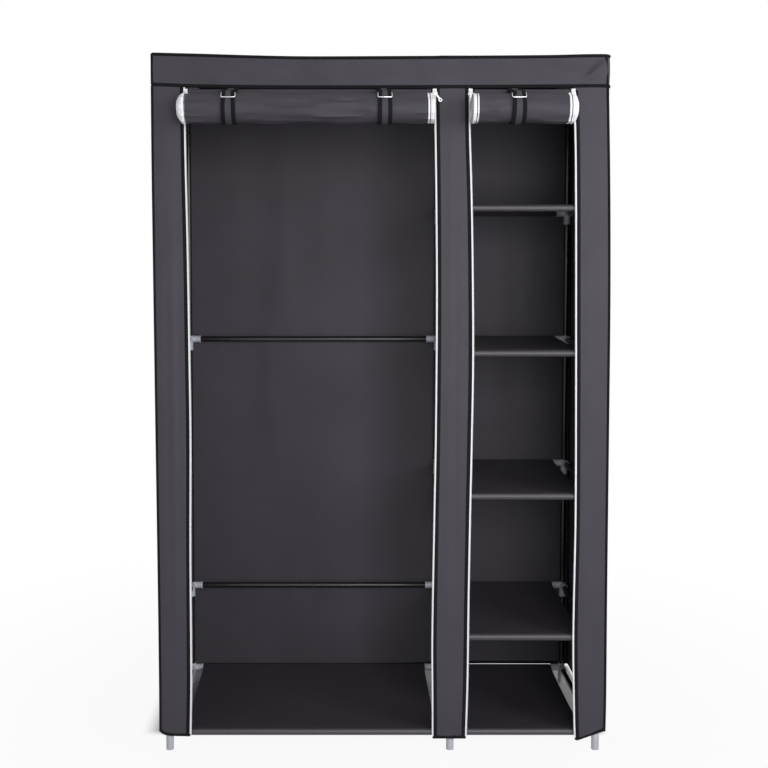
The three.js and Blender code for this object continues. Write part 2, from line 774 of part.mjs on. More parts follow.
function strap(name, low, high) {
  const sweep = Math.PI + ringAngle - barSpread;
  const behind = new THREE.Vector2(flapTop.x + doorClothThickness / 2 + strapGap + strapThickness / 2, panelTop);
  const line = [behind.clone().setY(panelTop - strapSeamHeight / 2)];
  for (let step = 0; step <= strapArcSteps; step += 1) {
    line.push(onRoll(Math.PI + (sweep * step) / strapArcSteps, strapRadius));
  }
  line.push(...strapEndPath.map(([degrees, lift]) => onRoll(THREE.MathUtils.degToRad(degrees), strapRadius + lift)));
  const ahead = flapTop.x - doorClothThickness / 2 - strapGap - strapThickness;
  const seam = outline([
    [ahead, panelTop],
    [ahead, panelTop - strapSeamHeight],
    [behind.x + strapThickness / 2, panelTop - strapSeamHeight],
    [behind.x + strapThickness / 2, panelTop],
  ]);
  const tab = [new THREE.Vector2(ahead + strapThickness / 2, panelTop - strapSeamHeight / 2)];
  tab.push(...tabPath.map((degrees) => onRoll(THREE.MathUtils.degToRad(degrees), strapRadius)), upperBar);
  const bored = ringWireRadius + fitGap;
  const eye = (radius, spare) =>
    bar(point(low - spare, upperBar.x, upperBar.y), point(high + spare, upperBar.x, upperBar.y), radius, eyeletSides);
  const webbing = join([
    alongX(ribbon(line, strapThickness), low, high),
    alongX(seam, low, high),
    alongX(ribbon(tab, strapThickness), low, high),
    eye(bored + strapThickness, 0),
  ]);
  addPiece(name, cut(webbing, [eye(bored, overrun)]), strapCloth);
}

function wireRing(name, centreX) {
  const half = strapWidth / 2 + ringSideGap + ringWireRadius;
  const corners = [-half, half].flatMap((offset) =>
    [lowerBar, upperBar].map((place) => point(centreX + offset, place.x, place.y)),
  );
  const wires = [[0, 2], [1, 3], [0, 1], [2, 3]].map(([from, to]) =>
    bar(corners[from], corners[to], ringWireRadius, ringWireSides),
  );
  const bends = corners.map((corner) =>
    toSolid(
      new THREE.SphereGeometry(ringWireRadius, ringWireSides, ringWireSides / 2).translate(
        corner.x,
        corner.y,
        corner.z,
      ),
    ),
  );
  addPiece(name, join([...wires, ...bends]), wire);
}

let strapNumber = 0;
for (const { zipPair, strapShares } of doors) {
  const width = zipPair[1].top - zipPair[0].top;
  for (const share of strapShares) {
    strapNumber += 1;
    const centreX = zipPair[0].top + share * width;
    strap(`strap_${strapNumber}`, centreX - strapWidth / 2, centreX + strapWidth / 2);
    wireRing(`strap_ring_${strapNumber}`, centreX);
  }
}

// The part's origin lies under the middle of its whole box, from the rings' fronts to the back piping.
const reachFront = Math.max(strapRadius + strapThickness / 2 - rollCentreY, ringWireRadius - lowerBar.x);
const reachBack = -clothPlane + capCordRadius;
wardrobe.position.y = (reachFront - reachBack) / 2;

export default wardrobe;
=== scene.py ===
import json
import math

import bmesh
import bpy
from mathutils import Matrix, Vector, noise

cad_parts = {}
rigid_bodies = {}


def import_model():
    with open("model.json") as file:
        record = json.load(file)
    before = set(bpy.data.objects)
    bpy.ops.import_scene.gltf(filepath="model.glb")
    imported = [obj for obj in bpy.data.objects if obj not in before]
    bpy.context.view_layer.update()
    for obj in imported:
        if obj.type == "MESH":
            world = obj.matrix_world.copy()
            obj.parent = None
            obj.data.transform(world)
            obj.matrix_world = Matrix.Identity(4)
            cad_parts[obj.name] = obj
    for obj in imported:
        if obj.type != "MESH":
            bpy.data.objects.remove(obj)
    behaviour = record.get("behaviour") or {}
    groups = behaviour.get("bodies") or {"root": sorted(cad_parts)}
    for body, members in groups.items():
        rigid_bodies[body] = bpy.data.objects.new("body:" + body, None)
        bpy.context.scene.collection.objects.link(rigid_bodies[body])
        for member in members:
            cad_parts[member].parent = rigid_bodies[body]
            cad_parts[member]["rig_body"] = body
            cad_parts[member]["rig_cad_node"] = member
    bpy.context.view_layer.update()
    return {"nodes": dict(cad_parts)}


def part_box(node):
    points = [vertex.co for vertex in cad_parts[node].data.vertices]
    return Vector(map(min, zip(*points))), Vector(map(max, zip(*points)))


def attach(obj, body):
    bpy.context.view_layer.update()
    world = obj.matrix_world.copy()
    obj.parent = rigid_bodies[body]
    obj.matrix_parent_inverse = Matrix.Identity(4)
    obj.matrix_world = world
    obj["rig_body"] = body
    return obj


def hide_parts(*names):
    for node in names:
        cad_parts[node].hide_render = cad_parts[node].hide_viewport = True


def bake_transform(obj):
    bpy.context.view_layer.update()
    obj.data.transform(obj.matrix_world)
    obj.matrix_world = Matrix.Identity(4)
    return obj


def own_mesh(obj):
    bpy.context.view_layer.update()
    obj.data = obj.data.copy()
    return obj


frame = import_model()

# Camera. It stands where the photograph was taken from, a little left of the middle and at chest height, tipped
# down so that the tops of the lower shelves show. A small shift gives the photograph's framing.
bpy.ops.object.camera_add(location=(-0.1042, -2.8695, 1.2439), rotation=(math.radians(86.33), 0, 0))
camera = bpy.context.object
camera.name = "photo_camera"
camera.data.lens = 52.39
camera.data.shift_x, camera.data.shift_y = 0.0566, -0.0858
bpy.context.scene.camera = camera

# Studio. A pale floor that fades into a white surround, with one soft lamp beside the camera, one to the right
# and a weaker one to the left, so that a colour renders about as it is written.
bpy.context.scene.view_settings.view_transform = "Standard"


def add_node(tree, kind, sockets=(), **settings):
    """A node with its settings. Each socket takes a value, or a link where it is given another node's output."""
    node = tree.nodes.new(kind)
    for name, value in settings.items():
        setattr(node, name, value)
    for socket, value in dict(sockets).items():
        if isinstance(value, bpy.types.NodeSocket):
            tree.links.new(value, node.inputs[socket])
        else:
            node.inputs[socket].default_value = value
    return node


def math_of(tree, operation, *terms):
    """The result of a math node on a few values or outputs."""
    return add_node(tree, "ShaderNodeMath", enumerate(terms), operation=operation).outputs[0]


def seen_directly(tree):
    """1 for rays from the camera, from a gloss or through glass, and 0 for the light that falls on things."""
    rays = add_node(tree, "ShaderNodeLightPath").outputs
    first = math_of(tree, "MAXIMUM", rays["Is Camera Ray"], rays["Is Glossy Ray"])
    return math_of(tree, "MAXIMUM", first, rays["Is Transmission Ray"])


room_light = 0.38
world = bpy.data.worlds.new("white_surround")
bpy.context.scene.world = world
world.use_nodes = True
tree = world.node_tree
tree.nodes.clear()
level = add_node(tree, "ShaderNodeMapRange", {"Value": seen_directly(tree), "To Min": room_light, "To Max": 1.0})
surround = add_node(tree, "ShaderNodeBackground", {"Color": (1, 1, 1, 1), "Strength": level.outputs[0]})
add_node(tree, "ShaderNodeOutputWorld", {"Surface": surround.outputs[0]})

bpy.ops.mesh.primitive_plane_add(size=30, location=(0, 0, 0))
floor = bpy.context.object
floor.name = "floor"
floor_paint = bpy.data.materials.new("pale_floor")
floor_paint.use_nodes = True
tree = floor_paint.node_tree
tree.nodes.clear()
spot = add_node(tree, "ShaderNodeTexCoord").outputs["Object"]
distance = add_node(tree, "ShaderNodeVectorMath", {0: spot}, operation="LENGTH").outputs["Value"]
apart = add_node(tree, "ShaderNodeSeparateXYZ", {0: spot}).outputs


def step_over(source, start, end, low=0.0, high=1.0):
    """A smooth step from one value to another while its source goes from start to end."""
    sockets = {"Value": source, "From Min": start, "From Max": end, "To Min": low, "To Max": high}
    return add_node(tree, "ShaderNodeMapRange", sockets, interpolation_type="SMOOTHSTEP").outputs[0]


def product(first, second):
    """Two values of the floor's shader multiplied."""
    return math_of(tree, "MULTIPLY", first, second)


# Under the object the floor is painted as shadow: its colour is darker there, and its glow for the camera is cut to
# nothing at the left, rising a little towards the right as painted light.
painted_shadow_mask = product(
    product(step_over(apart["X"], -0.62, -0.54), step_over(apart["X"], 0.562, 0.578, 1, 0)),
    product(step_over(apart["Y"], -0.1, -0.06), step_over(apart["Y"], 0.37, 0.395, 1, 0)),
)
open_floor, painted_glow_under_object = step_over(distance, 0.45, 1.9, 0.93, 1.0), step_over(apart["X"], -0.5, 0.5, 0.0, 0.1)
glowing = add_node(tree, "ShaderNodeMix", {"Factor": painted_shadow_mask, "A": open_floor, "B": painted_glow_under_object}, data_type="FLOAT")
colours = {"Factor": painted_shadow_mask, "A": (0.5, 0.5, 0.51, 1), "B": (0.26, 0.24, 0.25, 1)}
floor_colour_with_painted_shadow = add_node(tree, "ShaderNodeMix", colours, data_type="RGBA")
matt = add_node(tree, "ShaderNodeBsdfDiffuse", {"Color": floor_colour_with_painted_shadow.outputs["Result"]})
glow = add_node(tree, "ShaderNodeEmission", {"Color": (1, 1, 1, 1)})
share = product(seen_directly(tree), glowing.outputs["Result"])
mix = add_node(tree, "ShaderNodeMixShader", {0: share, 1: matt.outputs[0], 2: glow.outputs[0]})
add_node(tree, "ShaderNodeOutputMaterial", {"Surface": mix.outputs[0]})
floor.data.materials.append(floor_paint)

aim = Vector((0, -0.1, 0.9))
for name, place, width, power in [
    ("front_lamp", (0.5, -2.95, 1.35), 1.3, 47),
    ("side_lamp", (2.1, -1.9, 1.7), 1.2, 33),
    ("left_lamp", (-1.9, -2.1, 1.4), 1.0, 5),
]:
    bpy.ops.object.light_add(type="AREA", location=place)
    lamp = bpy.context.object
    lamp.name = name
    lamp.data.size = width
    lamp.data.energy = power
    lamp.rotation_euler = (aim - Vector(place)).to_track_quat("-Z", "Y").to_euler()

# Connectors. Pale bluish grey injection-moulded plastic: sleeves with a collar at each mouth, meeting at a hub with
# a web in each corner, and a solid foot under each base one. The tubes are pushed in up to a stop.
tube_radius = 0.0075
socket_radius = 0.0093
bore_radius = 0.0078
socket_reach = 0.031
tube_stop = 0.011
collar_height = 0.0035
collar_radius = 0.0101
foot_top = 0.037
base_socket_rise = 0.013
tee_half_length = 0.017
web_leg, web_wall = 0.019, 0.003
ring_sides = 32


def middle(node):
    """The middle of a CAD node's box."""
    low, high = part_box(node)
    return (low + high) / 2


mid_y = middle("rung_middle_1").y
post_x = {"left": -0.527, "middle": middle("rung_middle_1").x, "right": middle("rung_right_1").x}
frame_depth = 0.425
post_y = {"front": mid_y - frame_depth / 2, "back": mid_y + frame_depth / 2}
base_height = middle("shelf_bar_front_1").z - 0.239
level_height = {level: middle(f"rung_right_{level}").z for level in (1, 2, 3, 4)}
top_height = middle("hanging_rod").z

right, left = Vector((1, 0, 0)), Vector((-1, 0, 0))
rearward, forward = Vector((0, 1, 0)), Vector((0, -1, 0))
up, down = Vector((0, 0, 1)), Vector((0, 0, -1))
inward = {"front": rearward, "back": forward}


def levels_of(side):
    """The levels where a side has connectors, with their heights. The left one has none at the even shelves."""
    return {number: height for number, height in level_height.items() if side != "left" or number % 2}


def at(side, row, height):
    """The place on a post's middle line at a height."""
    return Vector((post_x[side], post_y[row], height))


def select_only(*pieces):
    """Leaves object mode and selects nothing but these pieces, the first of them active."""
    if bpy.context.object and bpy.context.object.mode != "OBJECT":
        bpy.ops.object.mode_set(mode="OBJECT")
    bpy.ops.object.select_all(action="DESELECT")
    for piece in pieces:
        piece.select_set(True)
    bpy.context.view_layer.objects.active = pieces[0]


def edit_whole(piece):
    """Goes into edit mode with all of the piece selected."""
    select_only(piece)
    bpy.ops.object.mode_set(mode="EDIT")
    bpy.ops.mesh.select_all(action="SELECT")


def pick(piece, kind, wanted):
    """Goes into edit mode and selects the faces, edges or vertices that pass a test."""
    select_only(piece)
    bpy.ops.object.mode_set(mode="EDIT")
    bpy.ops.mesh.select_mode(type=kind)
    bpy.ops.mesh.select_all(action="DESELECT")
    shape = bmesh.from_edit_mesh(piece.data)
    for part in {"FACE": shape.faces, "EDGE": shape.edges, "VERT": shape.verts}[kind]:
        if wanted(part):
            part.select_set(True)
    shape.select_flush_mode()
    bmesh.update_edit_mesh(piece.data)


def settle(piece):
    """Puts the piece's place, turn and scale into its mesh."""
    select_only(piece)
    bpy.ops.object.transform_apply(location=True, rotation=True, scale=True)


def add_modifier(piece, kind, **settings):
    """Adds a modifier with its settings and applies it at once."""
    change = piece.modifiers.new(kind.lower(), kind)
    for name, value in settings.items():
        setattr(change, name, value)
    select_only(piece)
    bpy.ops.object.modifier_apply(modifier=change.name)


def break_edges(piece, width, segments, angle):
    """Rounds over the edges that turn by more than an angle."""
    add_modifier(
        piece, "BEVEL", width=width, segments=segments, limit_method="ANGLE", angle_limit=math.radians(angle),
        use_clamp_overlap=True,
    )


def copy_of(master):
    """A copy of a piece, with its own mesh."""
    piece = master.copy()
    piece.data = master.data.copy()
    bpy.context.collection.objects.link(piece)
    return piece


def boolean(piece, tool, operation):
    """Joins a tool to the piece, or cuts it out of it, and takes the tool away."""
    add_modifier(piece, "BOOLEAN", operation=operation, solver="EXACT", object=tool)
    bpy.data.objects.remove(tool)


def finish_piece(piece, name, finish, *nodes, body="root", angle=35):
    """Settles and shades a piece, names it, gives it its paint, hides the CAD nodes it stands for, and attaches it to
    its body.
    """
    paint, slot = finish
    settle(piece)
    bpy.ops.object.shade_smooth_by_angle(angle=math.radians(angle))
    piece.name = name
    piece.data.name = name
    piece.data.materials.clear()
    piece.data.materials.append(paint)
    if nodes:
        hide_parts(*nodes)
    if body:
        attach(piece, body)
    return piece


def new_group(name, *inputs):
    """A node group with a height and a mask as its outputs, and the sockets of its input node."""
    group = bpy.data.node_groups.new(name, "ShaderNodeTree")
    for socket in inputs:
        kind = "NodeSocketVector" if socket == "Vector" else "NodeSocketFloat"
        group.interface.new_socket(socket, in_out="INPUT", socket_type=kind)
    for socket in ("Height", "Mask"):
        group.interface.new_socket(socket, in_out="OUTPUT", socket_type="NodeSocketFloat")
    return group, add_node(group, "NodeGroupInput").outputs


def noise_of(tree, place, scale, detail, **sockets):
    """The value of a noise texture."""
    sockets.update(Vector=place, Scale=scale, Detail=detail)
    return add_node(tree, "ShaderNodeTexNoise", sockets).outputs["Fac"]


# A fine grain over broad flow marks, for every hard finish.
hard_surface, given = new_group("grain_and_flow", "Vector")
flow = noise_of(hard_surface, given["Vector"], 45, 2)
height = math_of(hard_surface, "MULTIPLY_ADD", noise_of(hard_surface, given["Vector"], 900, 4), 0.35, flow)
add_node(hard_surface, "NodeGroupOutput", {"Height": height, "Mask": flow})


def patterned_material(name, pattern, colours, spread, rough, bump, depth, coordinate, given=(), **sockets):
    """A material whose colour follows the mask of a pattern and whose normal, and roughness too, its height."""
    paint = bpy.data.materials.new(name)
    paint.use_nodes = True
    tree = paint.node_tree
    tree.nodes.clear()
    place = add_node(tree, "ShaderNodeTexCoord").outputs[coordinate]
    marks = add_node(tree, "ShaderNodeGroup", {"Vector": place, **dict(given)}, node_tree=pattern).outputs
    ramp = add_node(tree, "ShaderNodeValToRGB", {0: marks["Mask"]})
    for stop, position, colour in zip(ramp.color_ramp.elements, spread, colours):
        stop.position, stop.color = position, (*colour, 1)
    if isinstance(rough, tuple):
        span = {"Value": marks["Height"], "To Min": rough[0], "To Max": rough[1]}
        rough = add_node(tree, "ShaderNodeMapRange", span).outputs[0]
    relief = add_node(tree, "ShaderNodeBump", {"Strength": bump, "Distance": depth, "Height": marks["Height"]})
    values = {socket.replace("_", " "): value for socket, value in sockets.items()}
    values.update({"Base Color": ramp.outputs[0], "Roughness": rough, "Normal": relief.outputs[0]})
    shader = add_node(tree, "ShaderNodeBsdfPrincipled", values)
    add_node(tree, "ShaderNodeOutputMaterial", {"Surface": shader.outputs[0]})
    return paint


def hard_material(name, dark, light, rough, bump, **sockets):
    """A hard finish: colour and roughness change slowly over the surface, with a fine grain in its normal."""
    return patterned_material(
        name, hard_surface, (dark, light), (0.3, 0.7), rough, bump, 0.0004, "Object", **sockets
    )


moulded_plastic = hard_material(
    "moulded_plastic", (0.43, 0.44, 0.49), (0.49, 0.50, 0.55), (0.36, 0.52), 0.12, Subsurface_Weight=0.04
), "connector_plastic"


def add_cylinder(centre, direction, length, radius, **options):
    """A cylinder about its middle point, along a direction."""
    bpy.ops.mesh.primitive_cylinder_add(
        vertices=ring_sides, radius=radius, depth=length, location=centre,
        rotation=direction.to_track_quat("Z", "Y").to_euler(), **options,
    )
    return bpy.context.object


def add_sleeve(hub, direction, reach):
    """One sleeve from its hub to its mouth, with the collar drawn out of its end face."""
    neck = reach - collar_height
    bpy.ops.mesh.primitive_cylinder_add(
        vertices=ring_sides, radius=socket_radius, depth=neck, location=(0, 0, neck / 2)
    )
    sleeve = bpy.context.object
    pick(sleeve, "FACE", lambda face: face.normal.z > 0.9)
    bpy.ops.mesh.extrude_region_move(TRANSFORM_OT_translate={"value": (0, 0, 0)})
    wider = collar_radius / socket_radius
    bpy.ops.transform.resize(value=(wider, wider, 1))
    bpy.ops.mesh.extrude_region_move(TRANSFORM_OT_translate={"value": (0, 0, collar_height)})
    settle(sleeve)
    sleeve.location = hub
    sleeve.rotation_euler = direction.to_track_quat("Z", "Y").to_euler()
    return sleeve


def add_web(hub, direction):
    """The web in the corner between a level sleeve and the upright one: a small block cut off on the slant."""
    slant = direction + down
    centre = hub + slant * web_leg / 2
    bpy.ops.mesh.primitive_cube_add(size=1, location=centre)
    web = bpy.context.object
    web.scale = [web_wall if abs(part) < 0.5 else web_leg for part in slant]
    settle(web)
    edit_whole(web)
    bpy.ops.mesh.bisect(plane_co=centre, plane_no=slant, use_fill=True, clear_outer=True, clear_inner=False)
    select_only(web)
    return web


def add_connector(hub, sockets, kind):
    """A connector: its upright sleeve or foot, its level sleeves, the webs between them, and all the bores."""
    ground, crown = Vector((hub.x, hub.y, 0)), hub + up * socket_radius
    way, start, reach, bore_start, bore_reach = {
        "base": (up, ground, hub.z + base_socket_rise, Vector((hub.x, hub.y, foot_top)), hub.z),
        "top": (down, crown, socket_reach + socket_radius, hub + down * tube_stop, socket_reach),
        "level": (down, crown, socket_reach + socket_radius, hub + up * 2 * socket_radius, 2 * socket_reach),
        "tee": (
            forward, hub + rearward * tee_half_length, 2 * tee_half_length,
            hub + rearward * socket_reach, 2 * socket_reach,
        ),
    }[kind]
    body = add_sleeve(start, way, reach)
    bores = []
    for direction in sockets:
        boolean(body, add_sleeve(hub, direction, socket_reach), "UNION")
        if kind != "tee":
            boolean(body, add_web(hub, direction), "UNION")
        bores.append((hub + direction * tube_stop, direction, socket_reach))
    for place, direction, length in [*bores, (bore_start, way, bore_reach)]:
        tool = add_cylinder(place + direction * length / 2, direction, length, bore_radius)
        boolean(body, tool, "DIFFERENCE")
    break_edges(body, width=0.0006, segments=2, angle=50)
    return body


across = {"left": [right], "middle": [left, right], "right": [left]}
for row in post_y:
    for side in post_x:
        for kind, height, node in (
            ("base", base_height, "base_frame"), ("top", top_height, f"top_frame_{side}"),
        ):
            piece = add_connector(at(side, row, height), [inward[row], *across[side]], kind)
            finish_piece(piece, f"connector_{kind}_{row}_{side}", moulded_plastic, node)
        masters = {}
        for number, height in levels_of(side).items():
            odd = number % 2 == 1
            level_sockets = {"left": [right] if row == "back" else [], "middle": [right], "right": [left]}[side]
            if side == "middle" and row == "back" and odd:
                level_sockets = [right, left]
            if odd not in masters:
                piece = add_connector(at(side, row, height), [inward[row], *level_sockets], "level")
                masters[odd] = (height, piece)
            else:
                piece = copy_of(masters[odd][1])
                piece.location.z += height - masters[odd][0]
            finish_piece(piece, f"connector_{row}_{side}_{number}", moulded_plastic, f"column_{row}_{side}")
for side, direction in (("left", right), ("middle", left)):
    tee = add_connector(Vector((post_x[side], mid_y, top_height)), [direction], "tee")
    finish_piece(tee, f"tee_{side}", moulded_plastic, f"top_frame_{side}")

# Tubes. Thin steel, 15 mm across, rolled and painted glossy black, cut square and pushed into the connectors. The
# posts are stacked through the connectors of each level.
tube_wall = 0.0008
post_gap = 0.0003
tube_paint = hard_material(
    "black_tube_paint", (0.006, 0.006, 0.007), (0.009, 0.009, 0.011), (0.2, 0.34), 0.1,
    Coat_Weight=0.15, Coat_Roughness=0.14, Specular_IOR_Level=0.35,
), "tube_steel"


def add_tube(start, end):
    """A tube between two points: its skin, then its wall inwards, then its rims broken."""
    along = end - start
    tube = add_cylinder((start + end) / 2, along, along.length, tube_radius, end_fill_type="NOTHING")
    add_modifier(tube, "SOLIDIFY", thickness=tube_wall, offset=-1, use_even_offset=True)
    break_edges(tube, width=0.0002, segments=1, angle=60)
    return tube


def joined(pieces):
    """Several pieces as one."""
    select_only(*pieces)
    if len(pieces) > 1:
        bpy.ops.object.join()
    return bpy.context.object


def depth_tube(side, height):
    """A tube from the front connector to the back one at a side."""
    return add_tube(at(side, "front", height) + rearward * tube_stop, at(side, "back", height) + forward * tube_stop)


def cross_tube(row, first, second, height):
    """A tube along the front or the back, from one side's connector to the next one's."""
    return add_tube(at(first, row, height) + right * tube_stop, at(second, row, height) + left * tube_stop)


for row in post_y:
    for side in post_x:
        stops = list(levels_of(side).values())
        spans = zip([foot_top, *stops], [*stops, top_height - tube_stop])
        posts = [add_tube(at(side, row, low + post_gap), at(side, row, high - post_gap)) for low, high in spans]
        finish_piece(joined(posts), f"posts_{row}_{side}", tube_paint, f"column_{row}_{side}")

left_bay, right_bay = ("left", "middle"), ("middle", "right")
for node, height, sides, bays in (
    ("base_frame", base_height, tuple(post_x), (left_bay, right_bay)),
    ("top_frame_left", top_height, ("left",), (left_bay,)),
    ("top_frame_middle", top_height, ("middle",), ()),
    ("top_frame_right", top_height, ("right",), (right_bay,)),
):
    tubes = [depth_tube(side, height) for side in sides]
    tubes += [cross_tube(row, *bay, height) for row in post_y for bay in bays]
    finish_piece(joined(tubes), f"{node}_tubes", tube_paint, node)
for side in post_x:
    for number, height in levels_of(side).items():
        node = "column_front_left" if side == "left" else f"rung_{side}_{number}"
        finish_piece(depth_tube(side, height), f"depth_tube_{side}_{number}", tube_paint, node)
for number, height in level_height.items():
    for row in post_y:
        shelf_bar = cross_tube(row, *right_bay, height)
        finish_piece(shelf_bar, f"shelf_tube_{row}_{number}", tube_paint, f"shelf_bar_{row}_{number}")
    if number in levels_of("left"):
        back_bar = cross_tube("back", *left_bay, height)
        finish_piece(back_bar, f"back_tube_{number}", tube_paint, f"back_bar_{number}")
rod = add_tube(
    Vector((post_x["left"] + tube_stop, mid_y, top_height)), Vector((post_x["middle"] - tube_stop, mid_y, top_height))
)
finish_piece(rod, "hanging_tube", tube_paint, "hanging_rod")

# Shelf cloths. Dark grey non-woven cloth with a stitched sleeve at the front and the back, threaded on two tubes,
# so that it sags a little between them. The two base cloths are made the same way.
shelf_inset = 0.034
sleeve_seam = 0.022
shelf_sag = 0.006
sleeve_radius = 0.0083
sleeve_turn = 208
seam_dip = 0.0022
cloth_thickness = 0.0005
stitch_pitch, stitch_length, stitch_radius = 0.0045, 0.003, 0.00028

# The point bonds of pressed non-woven cloth, its loose fibres, and slow mottling.
non_woven, given = new_group("non_woven", "Vector", "Bonds")
waves = []
for turn in (60, -60):
    laid = {"Vector": given["Vector"], "Rotation": (0, 0, math.radians(turn))}
    laid = add_node(non_woven, "ShaderNodeMapping", laid).outputs[0]
    scaled = add_node(non_woven, "ShaderNodeVectorMath", {0: laid, "Scale": given["Bonds"]}, operation="SCALE")
    apart = add_node(non_woven, "ShaderNodeSeparateXYZ", {0: scaled.outputs[0]})
    waves.append(math_of(non_woven, "SINE", apart.outputs["X"]))
fibres = noise_of(non_woven, given["Vector"], 1400, 3)
height = math_of(non_woven, "MULTIPLY_ADD", math_of(non_woven, "MULTIPLY", *waves), 0.5, fibres)
mottle = noise_of(non_woven, given["Vector"], 7, 5, Roughness=0.6)
add_node(non_woven, "NodeGroupOutput", {"Height": height, "Mask": mottle})


def cloth_material(name, dark, light, rough=0.72, bump=0.35, bonds=2600, sheen=0.02, gloss=0.2, coordinate="UV"):
    """A cloth: the pressed pattern in its normal, and its colour a little uneven."""
    return patterned_material(
        name, non_woven, (dark, light), (0.25, 0.75), rough, bump, 0.0003, coordinate, {"Bonds": bonds},
        Sheen_Weight=sheen, Sheen_Roughness=0.45, Specular_IOR_Level=gloss,
    )


# The shelf cloth is a darker copy of the cover cloth's colour, as painted shade on the shelves inside the cover.
shelf_cloth = cloth_material(
    "shelf_cloth", (0.034, 0.030, 0.036), (0.041, 0.036, 0.043), rough=0.42, sheen=0, gloss=0.5
), "shelf_cloth"
thread = cloth_material("black_thread", (0.012, 0.012, 0.014), (0.02, 0.02, 0.022), bump=0.1), "binding"


def add_cloth(width, length, columns, rows, shape):
    """A flat cut of cloth, width by length, with its UV map in metres, then laid to its shape point by point."""
    bpy.ops.mesh.primitive_grid_add(x_subdivisions=columns, y_subdivisions=rows, size=1, location=(0, 0, 0))
    cloth = bpy.context.object
    for loop in cloth.data.uv_layers.active.data:
        loop.uv = (loop.uv[0] * width, loop.uv[1] * length)
    for vertex in cloth.data.vertices:
        vertex.co = shape((vertex.co.x + 0.5) * width, (vertex.co.y + 0.5) * length)
    return cloth


def thicken(cloth, thickness=cloth_thickness):
    """Gives a laid cloth its thickness."""
    add_modifier(cloth, "SOLIDIFY", thickness=thickness, offset=0)
    return cloth


def lay_cloth(name, finish, node, size, grid, shape, thickness=cloth_thickness, body="root"):
    """A cloth cut to a size and laid on a grid, thickened and finished."""
    return finish_piece(thicken(add_cloth(*size, *grid, shape), thickness), name, finish, node, body=body)


def clamped(value):
    """A value kept between 0 and 1."""
    return min(max(value, 0), 1)


def ripple(u, v, seed, across_scale, up_scale, depth):
    """A soft wave of loose cloth, with its own scale each way."""
    return noise.noise(Vector((u * across_scale, v * up_scale, seed))) * depth


def sleeve_path(height):
    """The line that a shelf cloth follows in the Y-Z plane, from its front seam round both tubes to its back seam."""
    radius = sleeve_radius + cloth_thickness / 2
    half = frame_depth / 2
    seam = height + radius - seam_dip

    def round_tube(row, first):
        turns = [math.radians(first - sleeve_turn * step / 12) for step in range(13)]
        return [(post_y[row] + radius * math.cos(turn), height + radius * math.sin(turn)) for turn in turns]

    places = [step / 30 * 2 - 1 for step in range(1, 30)]
    sagging = [(mid_y + along * half, height + radius - shelf_sag * (1 - along * along)) for along in places]
    return [
        (post_y["front"] + sleeve_seam, seam), *round_tube("front", -62), *sagging, *round_tube("back", 90),
        (post_y["back"] - sleeve_seam, seam),
    ]


def along_line(line):
    """A function that gives the point at a distance along a line of (Y, Z) points, and the line's length."""
    spans = [math.dist(a, b) for a, b in zip(line, line[1:])]

    def place(distance):
        for (a, b), span in zip(zip(line, line[1:]), spans):
            if distance <= span or b is line[-1]:
                share = min(distance / span, 1)
                return a[0] + (b[0] - a[0]) * share, a[1] + (b[1] - a[1]) * share
            distance -= span

    return place, sum(spans)


def add_shelf(name, node, first, second, height, seed):
    """One shelf cloth on its two tubes, with a row of stitches along each sleeve."""
    low, high = post_x[first] + shelf_inset, post_x[second] - shelf_inset
    width = high - low
    place, length = along_line(sleeve_path(height))

    def creases(u, y):
        inside = clamped((abs(y - mid_y) - frame_depth / 2 + 0.03) / -0.05 + 0.2)
        return (ripple(u, y, seed, 9, 7, 0.0016) + ripple(u, y, seed + 5, 34, 3, 0.0005)) * inside

    def laid(u, s):
        y, z = place(s)
        return Vector((low + u, y, z + creases(u, y)))

    cloth = lay_cloth(name, shelf_cloth, node, (width, length), (max(24, int(width * 90)), 110), laid)
    stitches = []
    count = int(width / stitch_pitch)
    for row, way in (("front", 1), ("back", -1)):
        bpy.ops.mesh.primitive_cylinder_add(
            vertices=6, radius=stitch_radius, depth=stitch_length, rotation=(0, math.radians(90), 0)
        )
        stitch = bpy.context.object
        settle(stitch)
        add_modifier(
            stitch, "ARRAY", count=count, use_relative_offset=False, use_constant_offset=True,
            constant_offset_displace=(width / count, 0, 0),
        )
        y = post_y[row] + way * sleeve_seam
        top = height + sleeve_radius + cloth_thickness - shelf_sag * (1 - ((y - mid_y) / (frame_depth / 2)) ** 2)
        for vertex in stitch.data.vertices:
            u = vertex.co.x + width / count / 2
            vertex.co = Vector((low + u, y + vertex.co.y, top + vertex.co.z + creases(u, y)))
        stitches.append(stitch)
    seam = finish_piece(joined(stitches), f"{name}_stitches", thread)


for number, height in level_height.items():
    add_shelf(f"shelf_{number}", f"shelf_cloth_{number}", "middle", "right", height, number)
add_shelf("base_shelf_left", "base_cloth_left", "left", "middle", base_height, 11)
add_shelf("base_shelf_right", "base_cloth_right", "middle", "right", base_height, 12)

# Cover cloths. One sewn cover of dark grey non-woven cloth hangs over the frame: a cap with a band all round, a
# back, two sides and three front strips, seamed at the band and down the corners. It leans a little to the left
# towards its top, where it is drawn tight over the frame on the right.
front_y = middle("cover_front_left").y
back_y = middle("cover_back").y
cover_width = 1.0932
cover_depth = back_y - front_y
cover_low = 0.0505
panel_top = 1.6195
panel_height = panel_top - cover_low
band_top = 1.6975
band_hem = 1.6222
frame_clear = 0.5382
corner_turn = 0.016
cover_cloth = cloth_material("cover_cloth", (0.041, 0.037, 0.047), (0.051, 0.046, 0.058), rough=0.55), "cover_cloth"


